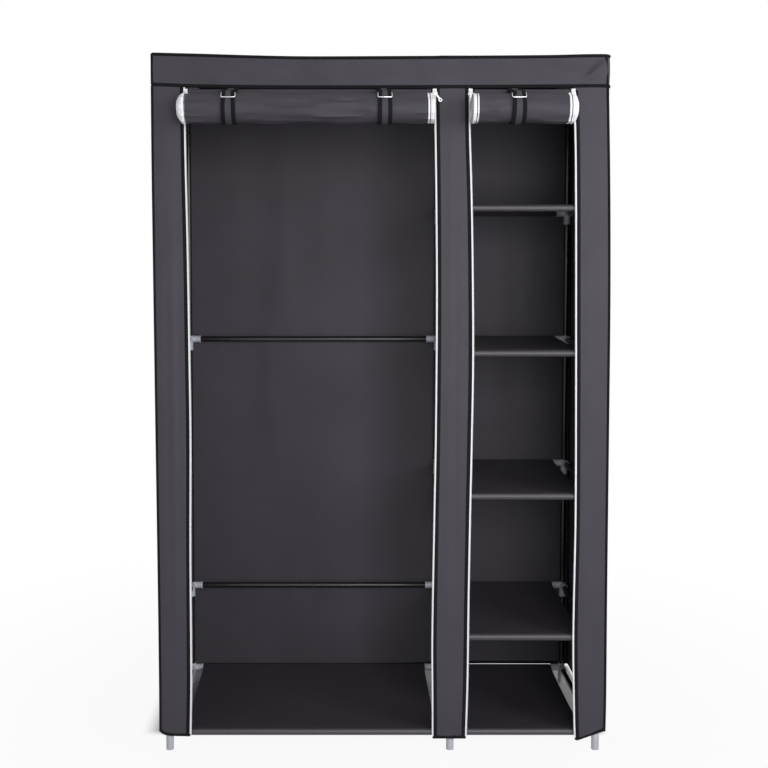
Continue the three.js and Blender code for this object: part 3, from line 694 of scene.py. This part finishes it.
def through(*points):
    """A function that runs in one smooth curve through a few (place, value) points."""
    around = zip([points[0], *points], [*points[1:], points[-1]])
    slopes = [(last[1] - first[1]) / (last[0] - first[0]) for first, last in around]

    def value(place):
        place = min(max(place, points[0][0]), points[-1][0])
        index = max(k for k in range(len(points) - 1) if k == 0 or points[k][0] <= place)
        (start, low), (end, high) = points[index : index + 2]
        t, span = (place - start) / (end - start), end - start
        leave, arrive = slopes[index] * span, slopes[index + 1] * span
        bend = 3 * (high - low) - 2 * leave - arrive
        return low + t * (leave + t * (bend + t * (leave + arrive - 2 * (high - low))))

    return value


corner_line = {
    "left": through(
        (0.05, -0.5485), (0.13, -0.5479), (0.38, -0.5482), (0.87, -0.5505), (1.2, -0.5518), (1.45, -0.5527),
        (1.7, -0.5523),
    ),
    "right": through(
        (0.05, 0.5465), (0.13, 0.5471), (0.38, 0.5455), (0.87, 0.5437), (1.12, 0.5424), (1.36, 0.5385),
        (1.57, 0.5328), (1.63, 0.5305), (1.7, 0.5268),
    ),
}
band_top_drop = through(
    (-0.555, 0.0022), (-0.43, -0.0009), (-0.32, -0.0042), (-0.2, -0.0066), (-0.05, -0.0064), (0.2, -0.0051),
    (0.4, -0.0036), (0.48, -0.0017), (0.55, -0.0015),
)
band_hem_drop = through((-0.555, 0.0062), (-0.44, 0.0022), (-0.2, -0.0002), (0.16, 0.0006), (0.55, 0.0028))
back_hem = through((-0.55, 0.043), (0.06, 0.043), (0.2, 0.0490), (0.55, 0.0496))
left_hem = through((-0.549, 0.0525), (-0.545, 0.0465), (-0.535, 0.0412), (-0.51, 0.0388), (-0.47, 0.0386))
right_hem = through((0.47, 0.0288), (0.483, 0.0292), (0.497, 0.0338), (0.541, 0.0498), (0.547, 0.0525))


def blended(first, second, share):
    """A value part of the way from a first one to a second."""
    return first * (1 - share) + second * share


def eased(value):
    """A value kept between 0 and 1, leaving the one and reaching the other softly."""
    value = clamped(value)
    return value * value * (3 - 2 * value)


def side_x(side, y, z):
    """Where a side of the cover hangs: straight from corner to corner, swelling only to clear the frame."""
    corner = corner_line[side](z)
    clear = math.copysign(max(abs(corner), frame_clear), corner)
    share = clamped(min(y - front_y, back_y - y) / corner_turn)
    return corner + (clear - corner) * math.sin(math.pi / 2 * share)


def across_cover(share, y, z):
    """The place across the cover, 0 at its left side and 1 at its right one."""
    return blended(side_x("left", y, z), side_x("right", y, z), share)


def between(place, low, high):
    """0 at two supports and 1 halfway between them."""
    return math.sin(math.pi * clamped((place - low) / (high - low))) ** 2


def bay_sag(x):
    """0 at the three posts and 1 in the middle of each bay."""
    first, last = left_bay if x < post_x["middle"] else right_bay
    return between(x, post_x[first], post_x[last])


def back_shape(u, s):
    low, high = back_hem(u - cover_width / 2), panel_top + band_hem_drop(u - cover_width / 2)
    z = low + s * (high - low) / panel_height
    x = across_cover(u / cover_width, back_y, z)
    loose = bay_sag(x) * between(z, 0.0, 1.72) ** 0.25
    wave = 0.003 + ripple(x, z, 3.1, 3.2, 1.6, 0.009) + ripple(x, z, 8.4, 13, 0.9, 0.006)
    return Vector((x, back_y + loose * max(-0.002, wave), z))


def side_shape(side):
    """A side cloth between its two corner seams, waving a little where nothing holds it."""

    def shape(u, s):
        high = panel_top + band_hem_drop(corner_line[side](panel_top))
        y, z = front_y + u, cover_low + s * (high - cover_low) / panel_height
        loose = between(y, post_y["front"] - 0.01, post_y["back"] + 0.01)
        wave = loose * max(-0.001, 0.003 + ripple(y, z, 5.2, 7, 1.1, 0.009) + ripple(y, z, 15.1, 17, 0.8, 0.005))
        return Vector((side_x(side, y, z) + math.copysign(wave, side_x(side, y, z)), y, z))

    return shape


back_size, side_size = (cover_width, panel_height), (cover_depth, panel_height)
back_cloth = lay_cloth("back_panel", cover_cloth, "cover_back", back_size, (110, 130), back_shape)
side_cloths = {}
for side in corner_line:
    side_cloths[side] = lay_cloth(
        f"{side}_panel", cover_cloth, f"cover_{side}_side", side_size, (70, 120), side_shape(side)
    )

# Each zip: the strip it is sewn to, its lower end, the side its door lies on, and its line.
zips = {
    1: ("left", 0.039, 1, through(
        (0.04, -0.4742), (0.18, -0.4712), (0.5, -0.4706), (0.78, -0.4680), (1.0, -0.4690), (1.26, -0.4712),
        (1.45, -0.4742), (1.6, -0.4752),
    )),
    2: ("middle", 0.0335, -1, through(
        (0.03, 0.1230), (0.13, 0.1222), (0.28, 0.1208), (0.58, 0.1242), (0.78, 0.1268), (1.1, 0.1277),
        (1.36, 0.1250), (1.6, 0.1205),
    )),
    3: ("middle", 0.0345, 1, through(
        (0.03, 0.2048), (0.18, 0.2080), (0.38, 0.2092), (0.58, 0.2114), (0.78, 0.2143), (0.97, 0.2160),
        (1.16, 0.2138), (1.36, 0.2095), (1.53, 0.2036), (1.6, 0.2030),
    )),
    4: ("right", 0.0292, -1, through(
        (0.03, 0.4738), (0.09, 0.4715), (0.28, 0.4668), (0.58, 0.4683), (0.87, 0.4656), (1.07, 0.4630),
        (1.36, 0.4590), (1.53, 0.4548), (1.6, 0.4500),
    )),
}
strips = {
    "left": (corner_line["left"], zips[1][3], left_hem, 0.076, 0.0026),
    "middle": (zips[2][3], zips[3][3], lambda x: 0.0325, 0.086, 0.0016),
    "right": (zips[4][3], corner_line["right"], right_hem, 0.082, 0.0026),
}
strip_height = panel_top - 0.034
hem_level = 0.04


def strip_shape(left_edge, right_edge, hem, width, seed, bulge):
    """A front strip between its two edges, from its hem up to the band, bowed a little outwards and softly creased."""

    def shape(u, s):
        share, rise = u / width, s / strip_height
        low = hem(blended(left_edge(hem_level), right_edge(hem_level), share))
        x_top = blended(left_edge(panel_top), right_edge(panel_top), share)
        z = low + (panel_top - 0.001 + band_hem_drop(x_top) - low) * rise
        x = blended(left_edge(z), right_edge(z), share)
        bow = math.sin(math.pi * share) * (0.35 + 0.65 * math.sin(math.pi * clamped(rise)) ** 0.5)
        y = front_y - bow * (bulge + ripple(x, z, seed, 8, 3.5, 0.003) + ripple(x, z, seed + 7, 60, 1.1, 0.0011))
        return Vector((x, y, z))

    return shape


for order, (name, (left_edge, right_edge, hem, width, bulge)) in enumerate(strips.items()):
    shape = strip_shape(left_edge, right_edge, hem, width, 20 + order, bulge)
    lay_cloth(
        f"front_strip_{name}", cover_cloth, f"cover_front_{name}", (width, strip_height), (26, 150), shape
    )

# The cap lies on the top frame, falls over its rim and hangs as a band, with one fold at its top right corner.
tube_rest = top_height + tube_radius + cloth_thickness
connector_rise = collar_radius - tube_radius + 0.0008
connector_spots = [(x, y) for x in post_x.values() for y in post_y.values()]
connector_spots += [(post_x["left"], mid_y), (post_x["middle"], mid_y)]
rim_width = 0.0115
band_steps = 14
fold_start, fold_end = Vector((0.540, 1.700)), Vector((0.470, 1.636))
fold_length = (fold_end - fold_start).length
fold_way = (fold_end - fold_start) / fold_length
fold_depth, fold_sharpness, fold_width = 0.008, 0.004, 0.05


def corner_fold(x, z):
    """How far the band stands out along the fold that runs down from its top right corner."""
    run = (Vector((x, z)) - fold_start).dot(fold_way)
    past = (Vector((x, z)) - fold_start).dot(Vector((-fold_way.y, fold_way.x)))
    if run < 0 or run > fold_length * 1.25:
        return 0
    fade = math.sin(math.pi * min(run / fold_length, 1.25) / 1.25)
    side = math.exp(-((past / fold_sharpness) ** 2)) if past < 0 else max(0, 1 - past / fold_width)
    return fade * fold_depth * side


def over_frame(x, y):
    """How high the cap lies at a place: on the tubes, and a little higher over each connector."""
    nearest = min(math.dist((x, y), spot) for spot in connector_spots)
    return tube_rest + connector_rise * (1 - eased((nearest - socket_reach - 0.003) / 0.03))


bpy.ops.mesh.primitive_grid_add(x_subdivisions=170, y_subdivisions=60, size=1, location=(0, 0, 0))
cap = bpy.context.object
cap.scale = (cover_width, cover_depth, 1)
cap.location = (0, (front_y + back_y) / 2, band_top)
settle(cap)
pick(cap, "EDGE", lambda edge: edge.is_boundary)
for step in range(band_steps):
    bpy.ops.mesh.extrude_edges_move(TRANSFORM_OT_translate={"value": (0, 0, (band_hem - band_top) / band_steps)})
bpy.ops.mesh.select_all(action="SELECT")
bpy.ops.uv.cube_project(cube_size=1, correct_aspect=False, clip_to_bounds=False, scale_to_bounds=False)
select_only(cap)
for vertex in cap.data.vertices:
    flat_x, y, z = vertex.co
    share = flat_x / cover_width + 0.5
    x = across_cover(share, y, z)
    drop = (band_top - z) / (band_top - band_hem)
    edge = blended(band_top_drop(x), band_hem_drop(x), drop)
    if drop < 0.01:
        if x < post_x["middle"]:
            open_share, sag = between(y, post_y["front"], mid_y) + between(y, mid_y, post_y["back"]), 0.004
        else:
            open_share, sag = between(y, post_y["front"], post_y["back"]), 0.008
        rest = over_frame(x, y) - bay_sag(x) * open_share * (sag + ripple(x, y, 6.6, 5, 7, 0.004))
        inside = min(y - front_y, 2 * (back_y - y), share * cover_width, (1 - share) * cover_width)
        z = blended(band_top + edge, rest, eased(inside / rim_width))
    else:
        z = z + edge
        out = math.sin(math.pi * min(drop, 1))
        wave = out * (0.0018 + ripple(x, z, 12.5, 6, 9, 0.0045) + ripple(x + 0.6 * z, z, 2.5, 16, 14, 0.0034))
        if abs(y - front_y) < 1e-4:
            y -= max(wave, corner_fold(x, z) * out)
        elif abs(y - back_y) < 1e-4:
            y += wave
        else:
            x += math.copysign(out * (0.001 + ripple(y, z, 9.5, 8, 9, 0.002)), x)
    vertex.co = (x, y, z)
finish_piece(thicken(cap), "cap", cover_cloth, "cover_cap")

# Bindings. Black bias tape folded over every seam and hem of the cover: round both edges of the cap's band, down the
# four corners, along the hems, and down each strip beside its zip.
piping_width = 0.0062
hem_tape = (0.0086, 0.0028)
hem_rise, strip_hem_rise = 0.0037, 0.0032
ring_turn = 0.004
weld_distance = 0.00001
binding = cloth_material(
    "black_binding", (0.006, 0.006, 0.007), (0.010, 0.010, 0.012), rough=0.8, bump=0.3, bonds=5200, sheen=0,
    gloss=0.1, coordinate="Object",
), "binding"


def add_binding(points, height, depth, closed=False, twist="Z_UP"):
    """An oval section drawn along a line of points: folded tape, piping or wire."""
    bpy.ops.curve.primitive_bezier_circle_add(radius=0.5, location=(0, 0, 0))
    section = bpy.context.object
    section.scale = (depth, height, 1)
    section.data.resolution_u = 4
    settle(section)
    line = bpy.data.curves.new("tape", "CURVE")
    line.dimensions = "3D"
    line.twist_mode = twist
    spline = line.splines.new("POLY")
    spline.points.add(len(points) - 1)
    for knot, place in zip(spline.points, points):
        knot.co = (*place, 1)
    spline.use_cyclic_u = closed
    line.bevel_mode = "OBJECT"
    line.bevel_object = section
    line.use_fill_caps = not closed
    tape = bpy.data.objects.new("tape", line)
    bpy.context.collection.objects.link(tape)
    select_only(tape)
    bpy.ops.object.convert(target="MESH")
    tape = bpy.context.object
    bpy.data.objects.remove(section)
    edit_whole(tape)
    bpy.ops.mesh.remove_doubles(threshold=weld_distance)
    bpy.ops.mesh.normals_make_consistent(inside=False)
    select_only(tape)
    return tape


def band_ring(height, drop):
    """The points of a ring round the cover at one of the band's edges, with its corners turned in a short curve."""
    points = []
    corners = [(0, front_y), (1, front_y), (1, back_y), (0, back_y)]
    for index, (share, y) in enumerate(corners):
        next_share, next_y = corners[(index + 1) % 4]
        length, steps = (cover_width, 90) if index % 2 == 0 else (cover_depth, 50)
        for step in range(steps + 1):
            along = ring_turn / length + (1 - 2 * ring_turn / length) * step / steps
            here, there = share + (next_share - share) * along, y + (next_y - y) * along
            x = across_cover(here, there, height)
            points.append(Vector((x, there, height + drop(x))))
        x = across_cover(next_share, next_y, height)
        points.append(Vector((
            x - math.copysign(ring_turn * 0.25, x), next_y - math.copysign(ring_turn * 0.25, next_y - mid_y),
            height + drop(x),
        )))
    return points


def bind(name, node, points, height, depth, finish=binding, **options):
    """A finished binding along a line of points."""
    return finish_piece(add_binding(points, height, depth, **options), name, finish, node, angle=60)


for name, ring, size in (
    ("top", band_ring(band_top - 0.0003, band_top_drop), (0.0078, 0.0050)),
    ("hem", band_ring(band_hem, band_hem_drop), (0.0088, 0.0056)),
):
    bind(f"binding_cap_{name}", "cover_cap", ring, *size, closed=True)


def add_piping(side, row, low, high, steps, name, node):
    """The piping up a corner of the cover, between two heights."""
    y = front_y if row == "front" else back_y
    heights = [low + (high - low) * step / steps for step in range(steps + 1)]
    line = [Vector((corner_line[side](z), y, z)) for z in heights]
    return bind(f"binding_{name}_{row}_{side}", node, line, piping_width, piping_width, twist="MINIMUM")


for side, line_of in corner_line.items():
    seam = panel_top + band_hem_drop(line_of(panel_top))
    low, high = band_hem + band_hem_drop(line_of(band_hem)), band_top + band_top_drop(line_of(band_top))
    for row in post_y:
        add_piping(side, row, cover_low, seam, 60, "corner", f"cover_{side}_side")
        add_piping(side, row, low, high, 8, "cap", "cover_cap")

for name, (left_edge, right_edge, hem, width, bulge) in strips.items():
    line = []
    for step in range(31):
        share = step / 30
        z = hem(blended(left_edge(hem_level), right_edge(hem_level), share)) + strip_hem_rise
        line.append(Vector((blended(left_edge(z), right_edge(z), share), front_y, z)))
    bind(f"binding_hem_{name}", f"cover_front_{name}", line, *hem_tape)
for name, start, end in (
    ("back", (0, back_y), (1, back_y)),
    ("left_side", (0, front_y), (0, back_y)),
    ("right_side", (1, front_y), (1, back_y)),
):
    line = []
    for step in range(41):
        share, y = (first + (last - first) * step / 40 for first, last in zip(start, end))
        z = (back_hem(cover_width * (share - 0.5)) if name == "back" else cover_low) + hem_rise
        line.append(Vector((across_cover(share, y, z), y, z)))
    bind(f"binding_hem_{name}", f"cover_{name}", line, *hem_tape)

# Zips on the cover. Each strip's edge carries half a zip: white tape with a white nylon coil, sewn on under the black
# binding. The coil is one long flattened helix, made straight and then laid along the hanging edge.
coil_pitch = 0.0024
coil_radius, coil_wire = 0.0009, 0.0005
coil_sides = 5
coil_steps = 6
tape_start, tape_width, tape_thickness = 0.0026, 0.0036, 0.0006
edge_start, edge_width, edge_thickness = 0.0105, 0.0082, 0.001
nylon = hard_material("white_nylon", (0.80, 0.80, 0.81), (0.86, 0.86, 0.87), (0.3, 0.42), 0.08, Subsurface_Weight=0.05)
white_coil = nylon, "zip_coil"
white_tape = cloth_material(
    "white_zip_tape", (0.78, 0.77, 0.8), (0.86, 0.86, 0.88), rough=0.75, bump=0.25, bonds=6000, sheen=0.0
), "zip_coil"


def add_coil(length):
    """A flattened helix of nylon that runs up from the origin, as long as the zip."""
    turns = int(length / coil_pitch)
    bpy.ops.mesh.primitive_circle_add(
        vertices=coil_sides, radius=coil_wire, location=(coil_radius, 0, 0), rotation=(math.radians(90), 0, 0)
    )
    coil = bpy.context.object
    settle(coil)
    add_modifier(
        coil, "SCREW", angle=2 * math.pi, screw_offset=length / turns, iterations=turns, steps=coil_steps,
        render_steps=coil_steps, axis="Z", use_merge_vertices=False, use_smooth_shade=True,
    )
    edit_whole(coil)
    bpy.ops.transform.resize(value=(1.2, 0.85, 1))
    select_only(coil)
    return coil


for number, (strip, hem, opening, line_of) in zips.items():
    length = strip_height - 0.004
    node = f"cover_front_{strip}"
    coil = add_coil(length)
    for vertex in coil.data.vertices:
        x, y, z = vertex.co
        z = min(max(z + hem + 0.001, hem), panel_top - 0.002)
        vertex.co = (line_of(z) + x + opening * 0.0012, front_y - 0.0004 + y, z)
    finish_piece(coil, f"zip_coil_{number}", white_coil, node, angle=60)

    def taped(u, s):
        z = hem + s
        return Vector((line_of(z) - opening * (tape_start - u), front_y - 0.0009, z))

    def bound(u, s):
        z = hem - 0.001 + s
        crown = math.sin(math.pi * u / edge_width)
        return Vector((line_of(z) - opening * (edge_start - u), front_y - 0.0012 - 0.0009 * crown, z))

    size = (tape_width, length + 0.003)
    lay_cloth(f"zip_tape_{number}", white_tape, node, size, (3, 120), taped, tape_thickness)
    size = (edge_width, length + 0.004)
    lay_cloth(f"zip_binding_{number}", binding, node, size, (5, 120), bound, edge_thickness)

for side, cloth in side_cloths.items():
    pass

# Rolled doors. Each door is one cloth with half a zip down both its sides, wound from its hem up into a loose roll
# under the band. The turns slip sideways, so that the white zip edges show as a dome at one end.
roll_y, roll_z = -0.23365, 1.5662
roll_radius, core_radius = 0.036, 0.020
door_length = 1.58
roll_turns = door_length / (math.pi * (roll_radius + core_radius))
roll_rows = int(roll_turns * 28)
doors = {
    "left": {"low": -0.4713, "high": 0.1160, "edges": (0.0100, 0.0140), "slip": -0.0135, "seed": 31, "straps": (1, 2)},
    "right": {"low": 0.2010, "high": 0.4385, "edges": (0.0130, 0.0145), "slip": 0.0095, "seed": 47, "straps": (3,)},
}
strap_places = {1: -0.3640, 2: -0.0014, 3: 0.3089}
pinch_width = 0.03
soft_depth, crease_depth = 0.0016, 0.0050
door_thickness, trim_thickness, groove_thickness = 0.0006, 0.0007, 0.0004
bead_width, bead_height = 0.0052, 0.0011
groove_start, groove_width = 0.0078, 0.0020
# Each white zip edge of a door carries a thin flat strip of the dark cover cloth, painted shade where the groove
# between its tape and its coil falls dark.
groove = cover_cloth[0], "binding"


def roll_point(side, x, share, lift=0.0):
    """A point of the rolled cloth: its place across the door, how far in it is wound, and its lift off the cloth."""
    door = doors[side]
    angle = -share * roll_turns * 2 * math.pi
    radius = roll_radius - 0.0007 - (roll_radius - core_radius) * share
    pinch = max(math.exp(-(((x - strap_places[number]) / pinch_width) ** 2)) for number in door["straps"])
    outer = clamped((3 - share * roll_turns) / 2)
    turned = Vector((math.cos(angle), math.sin(angle), door["seed"]))
    soft = noise.noise(Vector((x * 7, turned.x * 0.9, turned.y * 0.9 + turned.z)))
    crease = noise.noise(Vector((x * 11, turned.x * 3.4, turned.y * 3.4 + turned.z)))
    radius += outer * ((1 - pinch) * (soft * soft_depth + crease * crease_depth) - 0.0008) + lift
    slip = door["slip"] * math.sqrt(share) + 0.0008 * math.sin(angle * 0.37 + door["seed"]) * share
    return Vector((x + slip, roll_y + radius * math.cos(angle), roll_z + radius * math.sin(angle)))


for side, door in doors.items():
    left_edge, right_edge = door["edges"]
    inner = door["high"] - door["low"] - left_edge - right_edge
    node, body = f"door_roll_{side}", f"door_{side}"

    def rolled(u, s):
        return roll_point(side, door["low"] + left_edge + u, s / door_length)

    size, grid = (inner, door_length), (int(inner * 120), roll_rows)
    cloth = lay_cloth(f"door_roll_cloth_{side}", cover_cloth, node, size, grid, rolled, door_thickness, body)
    trims = []
    for name, start, way, width in (("left", door["low"], 1, left_edge), ("right", door["high"], -1, right_edge)):

        def taped(u, s):
            bead = math.sin(math.pi * min(u / bead_width, 1)) ** 2 * bead_height
            return roll_point(side, start + way * u, s / door_length, bead)

        def grooved(u, s):
            return roll_point(side, start + way * (groove_start + u), s / door_length, 0.0004)

        for kind, finish, across_it, columns, shape, thickness in (
            ("zip", white_tape, width, 12, taped, trim_thickness),
            ("groove", groove, groove_width, 1, grooved, groove_thickness),
        ):
            size, grid = (across_it, door_length), (columns, roll_rows)
            trims.append(lay_cloth(f"door_{kind}_{side}_{name}", finish, node, size, grid, shape, thickness, body))
    [f"strap_cloth_{number}" for number in door["straps"]]
    for piece in [cloth, *trims]:
        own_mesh(piece)

# Door fronts. The short stretch of each door between the seam under the band and the back of its roll, built as it
# hangs with the door rolled up, though on the cover it draws out to the whole door when the roll is let down. The
# right one widens on its way down to reach its zip.
flap_top_y, flap_top_z = -0.18665, 1.6156
flap_low_y, flap_low_z = -0.19815, 1.5665
flap_drop = math.dist((flap_top_y, flap_top_z), (flap_low_y, flap_low_z))
for side, (low, high, widening) in {"left": (-0.4645, 0.111, 0), "right": (0.2135, 0.4405, 0.0245)}.items():

    def hung(u, s):
        share = s / flap_drop
        y = flap_low_y + (flap_top_y - flap_low_y) * share
        wider = widening * eased((0.72 - share) / 0.3) * u / (high - low)
        return Vector((low + u + wider, y, flap_low_z + (flap_top_z - flap_low_z) * share))

    size, grid = (high - low, flap_drop), (int((high - low) * 60), 24)
    flap = lay_cloth(f"door_flap_cloth_{side}", cover_cloth, f"door_flap_{side}", size, grid, hung, body=None)
    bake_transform(flap)

# Straps. Dark grey cloth with black bound edges, sewn into the seam under the band behind the door and passed under
# the roll. Each goes in behind the lower bar of a wire ring and out over the upper one, which a short tab holds.
strap_webbing = cloth_material(
    "strap_cloth", (0.042, 0.039, 0.047), (0.052, 0.048, 0.058), rough=0.6, bump=0.45, bonds=3600
), "strap_webbing"
strap_width = 0.033
strap_thickness = 0.0012
strap_edge = 0.0094
strap_pinch = 0.15
strap_radius = roll_radius + 0.0006 + strap_thickness / 2
ring_wire_radius = 0.0013
ring_bend = 0.0025
ring_angle = math.radians(45)
ring_reach = strap_radius + 0.0014
bar_offset = 0.014 / 2 + ring_wire_radius
bar_radius = math.hypot(ring_reach, bar_offset)
bar_spread = math.atan2(bar_offset, ring_reach)
seam_z = 1.6189
strap_lift = through(
    (32.9, 0), (36, 0.0002), (41, 0.0013), (50, 0.0053), (55, 0.0063), (60, 0.0061), (66, 0.0045), (73, 0.0019)
)


def on_roll(angle, radius):
    """The point at an angle up the roll's front and at a radius from its middle."""
    return roll_y - radius * math.cos(angle), roll_z + radius * math.sin(angle)


lower_bar = on_roll(ring_angle - bar_spread, bar_radius)
upper_bar = on_roll(ring_angle + bar_spread, bar_radius)
long_line = [(flap_top_y + 0.0017, seam_z - drop) for drop in (0.0005, 0.003)]
arc = math.pi + ring_angle - bar_spread
long_line += [on_roll(math.pi + arc * step / 40, strap_radius) for step in range(41)]
long_line += [on_roll(math.radians(angle), strap_radius + strap_lift(angle)) for angle in range(34, 74)]
tab_line = [(flap_top_y - 0.0017, seam_z - drop) for drop in (0.0005, 0.003)]
tab_line += [on_roll(math.radians(angle), strap_radius) for angle in (75, 72, 69, 66, 63)]
eye = ring_wire_radius + 0.0003 + strap_thickness / 2
away, ahead = on_roll(ring_angle + bar_spread, 1), on_roll(ring_angle + bar_spread - math.pi / 2, 1)
for step in range(13):
    turn = math.radians(300 * step / 12)
    tab_line.append(tuple(
        bar - eye * math.cos(turn) * (far - centre) + eye * math.sin(turn) * (front - centre)
        for bar, far, front, centre in zip(upper_bar, away, ahead, (roll_y, roll_z))
    ))
nickel_wire = hard_material(
    "nickel_wire", (0.72, 0.73, 0.77), (0.8, 0.8, 0.84), (0.12, 0.22), 0.03, Metallic=1.0
), "ring_wire"


def add_ribbon(line, centre, low, high, thickness, ring_from_end):
    """A ribbon of cloth along a line of (Y, Z) points, between two places across the strap, with its length."""
    place, length = along_line(line)

    def laid(u, s):
        from_ring = (length - ring_from_end - s) / (0.022 if s < length - ring_from_end else 0.05)
        waist = 1 - strap_pinch * math.exp(-(from_ring**2))
        y, z = place(s)
        return Vector((centre + (low + u) * waist, y, z))

    return thicken(add_cloth(high - low, length, 6, 130, laid), thickness), length


for number, centre in strap_places.items():
    half = strap_width / 2
    webs, edges, strap_length = [], [], 0
    for line, ring_from_end in ((long_line, 0.0185), (tab_line, 0.006)):
        web, length = add_ribbon(line, centre, -half, half, strap_thickness * 0.8, ring_from_end)
        webs.append(web)
        strap_length += length
        for low, high in ((-half - 0.0004, strap_edge - half), (half - strap_edge, half + 0.0004)):
            edges.append(add_ribbon(line, centre, low, high, strap_thickness * 1.3, ring_from_end)[0])
    web = finish_piece(joined(webs), f"strap_cloth_{number}", strap_webbing, f"strap_{number}")
    bound_edges = finish_piece(joined(edges), f"strap_binding_{number}", binding, f"strap_{number}")
    reach = half * (1 - strap_pinch) + 0.0007 + ring_wire_radius
    low_bar, high_bar, wire = Vector((0, *lower_bar)), Vector((0, *upper_bar)), []
    climb = (high_bar - low_bar).normalized()
    turns = [math.pi / 2 * step / 4 for step in range(5)]
    for bar, inside, side in ((low_bar, climb, 1), (high_bar, -climb, -1)):
        for way, order in ((-side, turns[::-1]), (side, turns)):
            for turn in order:
                x = centre + way * (reach - ring_bend + ring_bend * math.sin(turn))
                wire.append(Vector((x, 0, 0)) + bar + inside * ring_bend * (1 - math.cos(turn)))
    ring = bind(
        f"ring_{number}", f"strap_ring_{number}", wire, 2 * ring_wire_radius, 2 * ring_wire_radius, nickel_wire,
        closed=True, twist="MINIMUM",
    )
    for piece in (web, bound_edges, ring):
        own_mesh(piece)

# Sliders and pull tabs. Die-cast and enamelled white: a slider astride each zip with a crown on its face, and a pull
# tab hung in the crown. They keep the form of the cast solids, with all their edges rounded over.
enamel = hard_material("white_enamel", (0.80, 0.80, 0.82), (0.86, 0.86, 0.88), (0.18, 0.3), 0.05, Coat_Weight=0.5)
white_enamel = enamel, "zip_slider"
for number in zips:
    for node, name, body in (
        (f"slider_{number}", f"zip_slider_{number}", f"zip_{number}"),
        (f"pull_tab_{number}", f"zip_pull_{number}", f"pull_{number}"),
    ):
        piece = copy_of(frame["nodes"][node])
        piece.parent = None
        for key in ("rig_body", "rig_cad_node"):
            if key in piece:
                del piece[key]
        edit_whole(piece)
        bpy.ops.mesh.remove_doubles(threshold=weld_distance)
        bpy.ops.mesh.dissolve_limited(angle_limit=math.radians(2))
        break_edges(piece, width=0.00035, segments=3, angle=30)
        finish_piece(piece, name, white_enamel, node, body=body, angle=50)
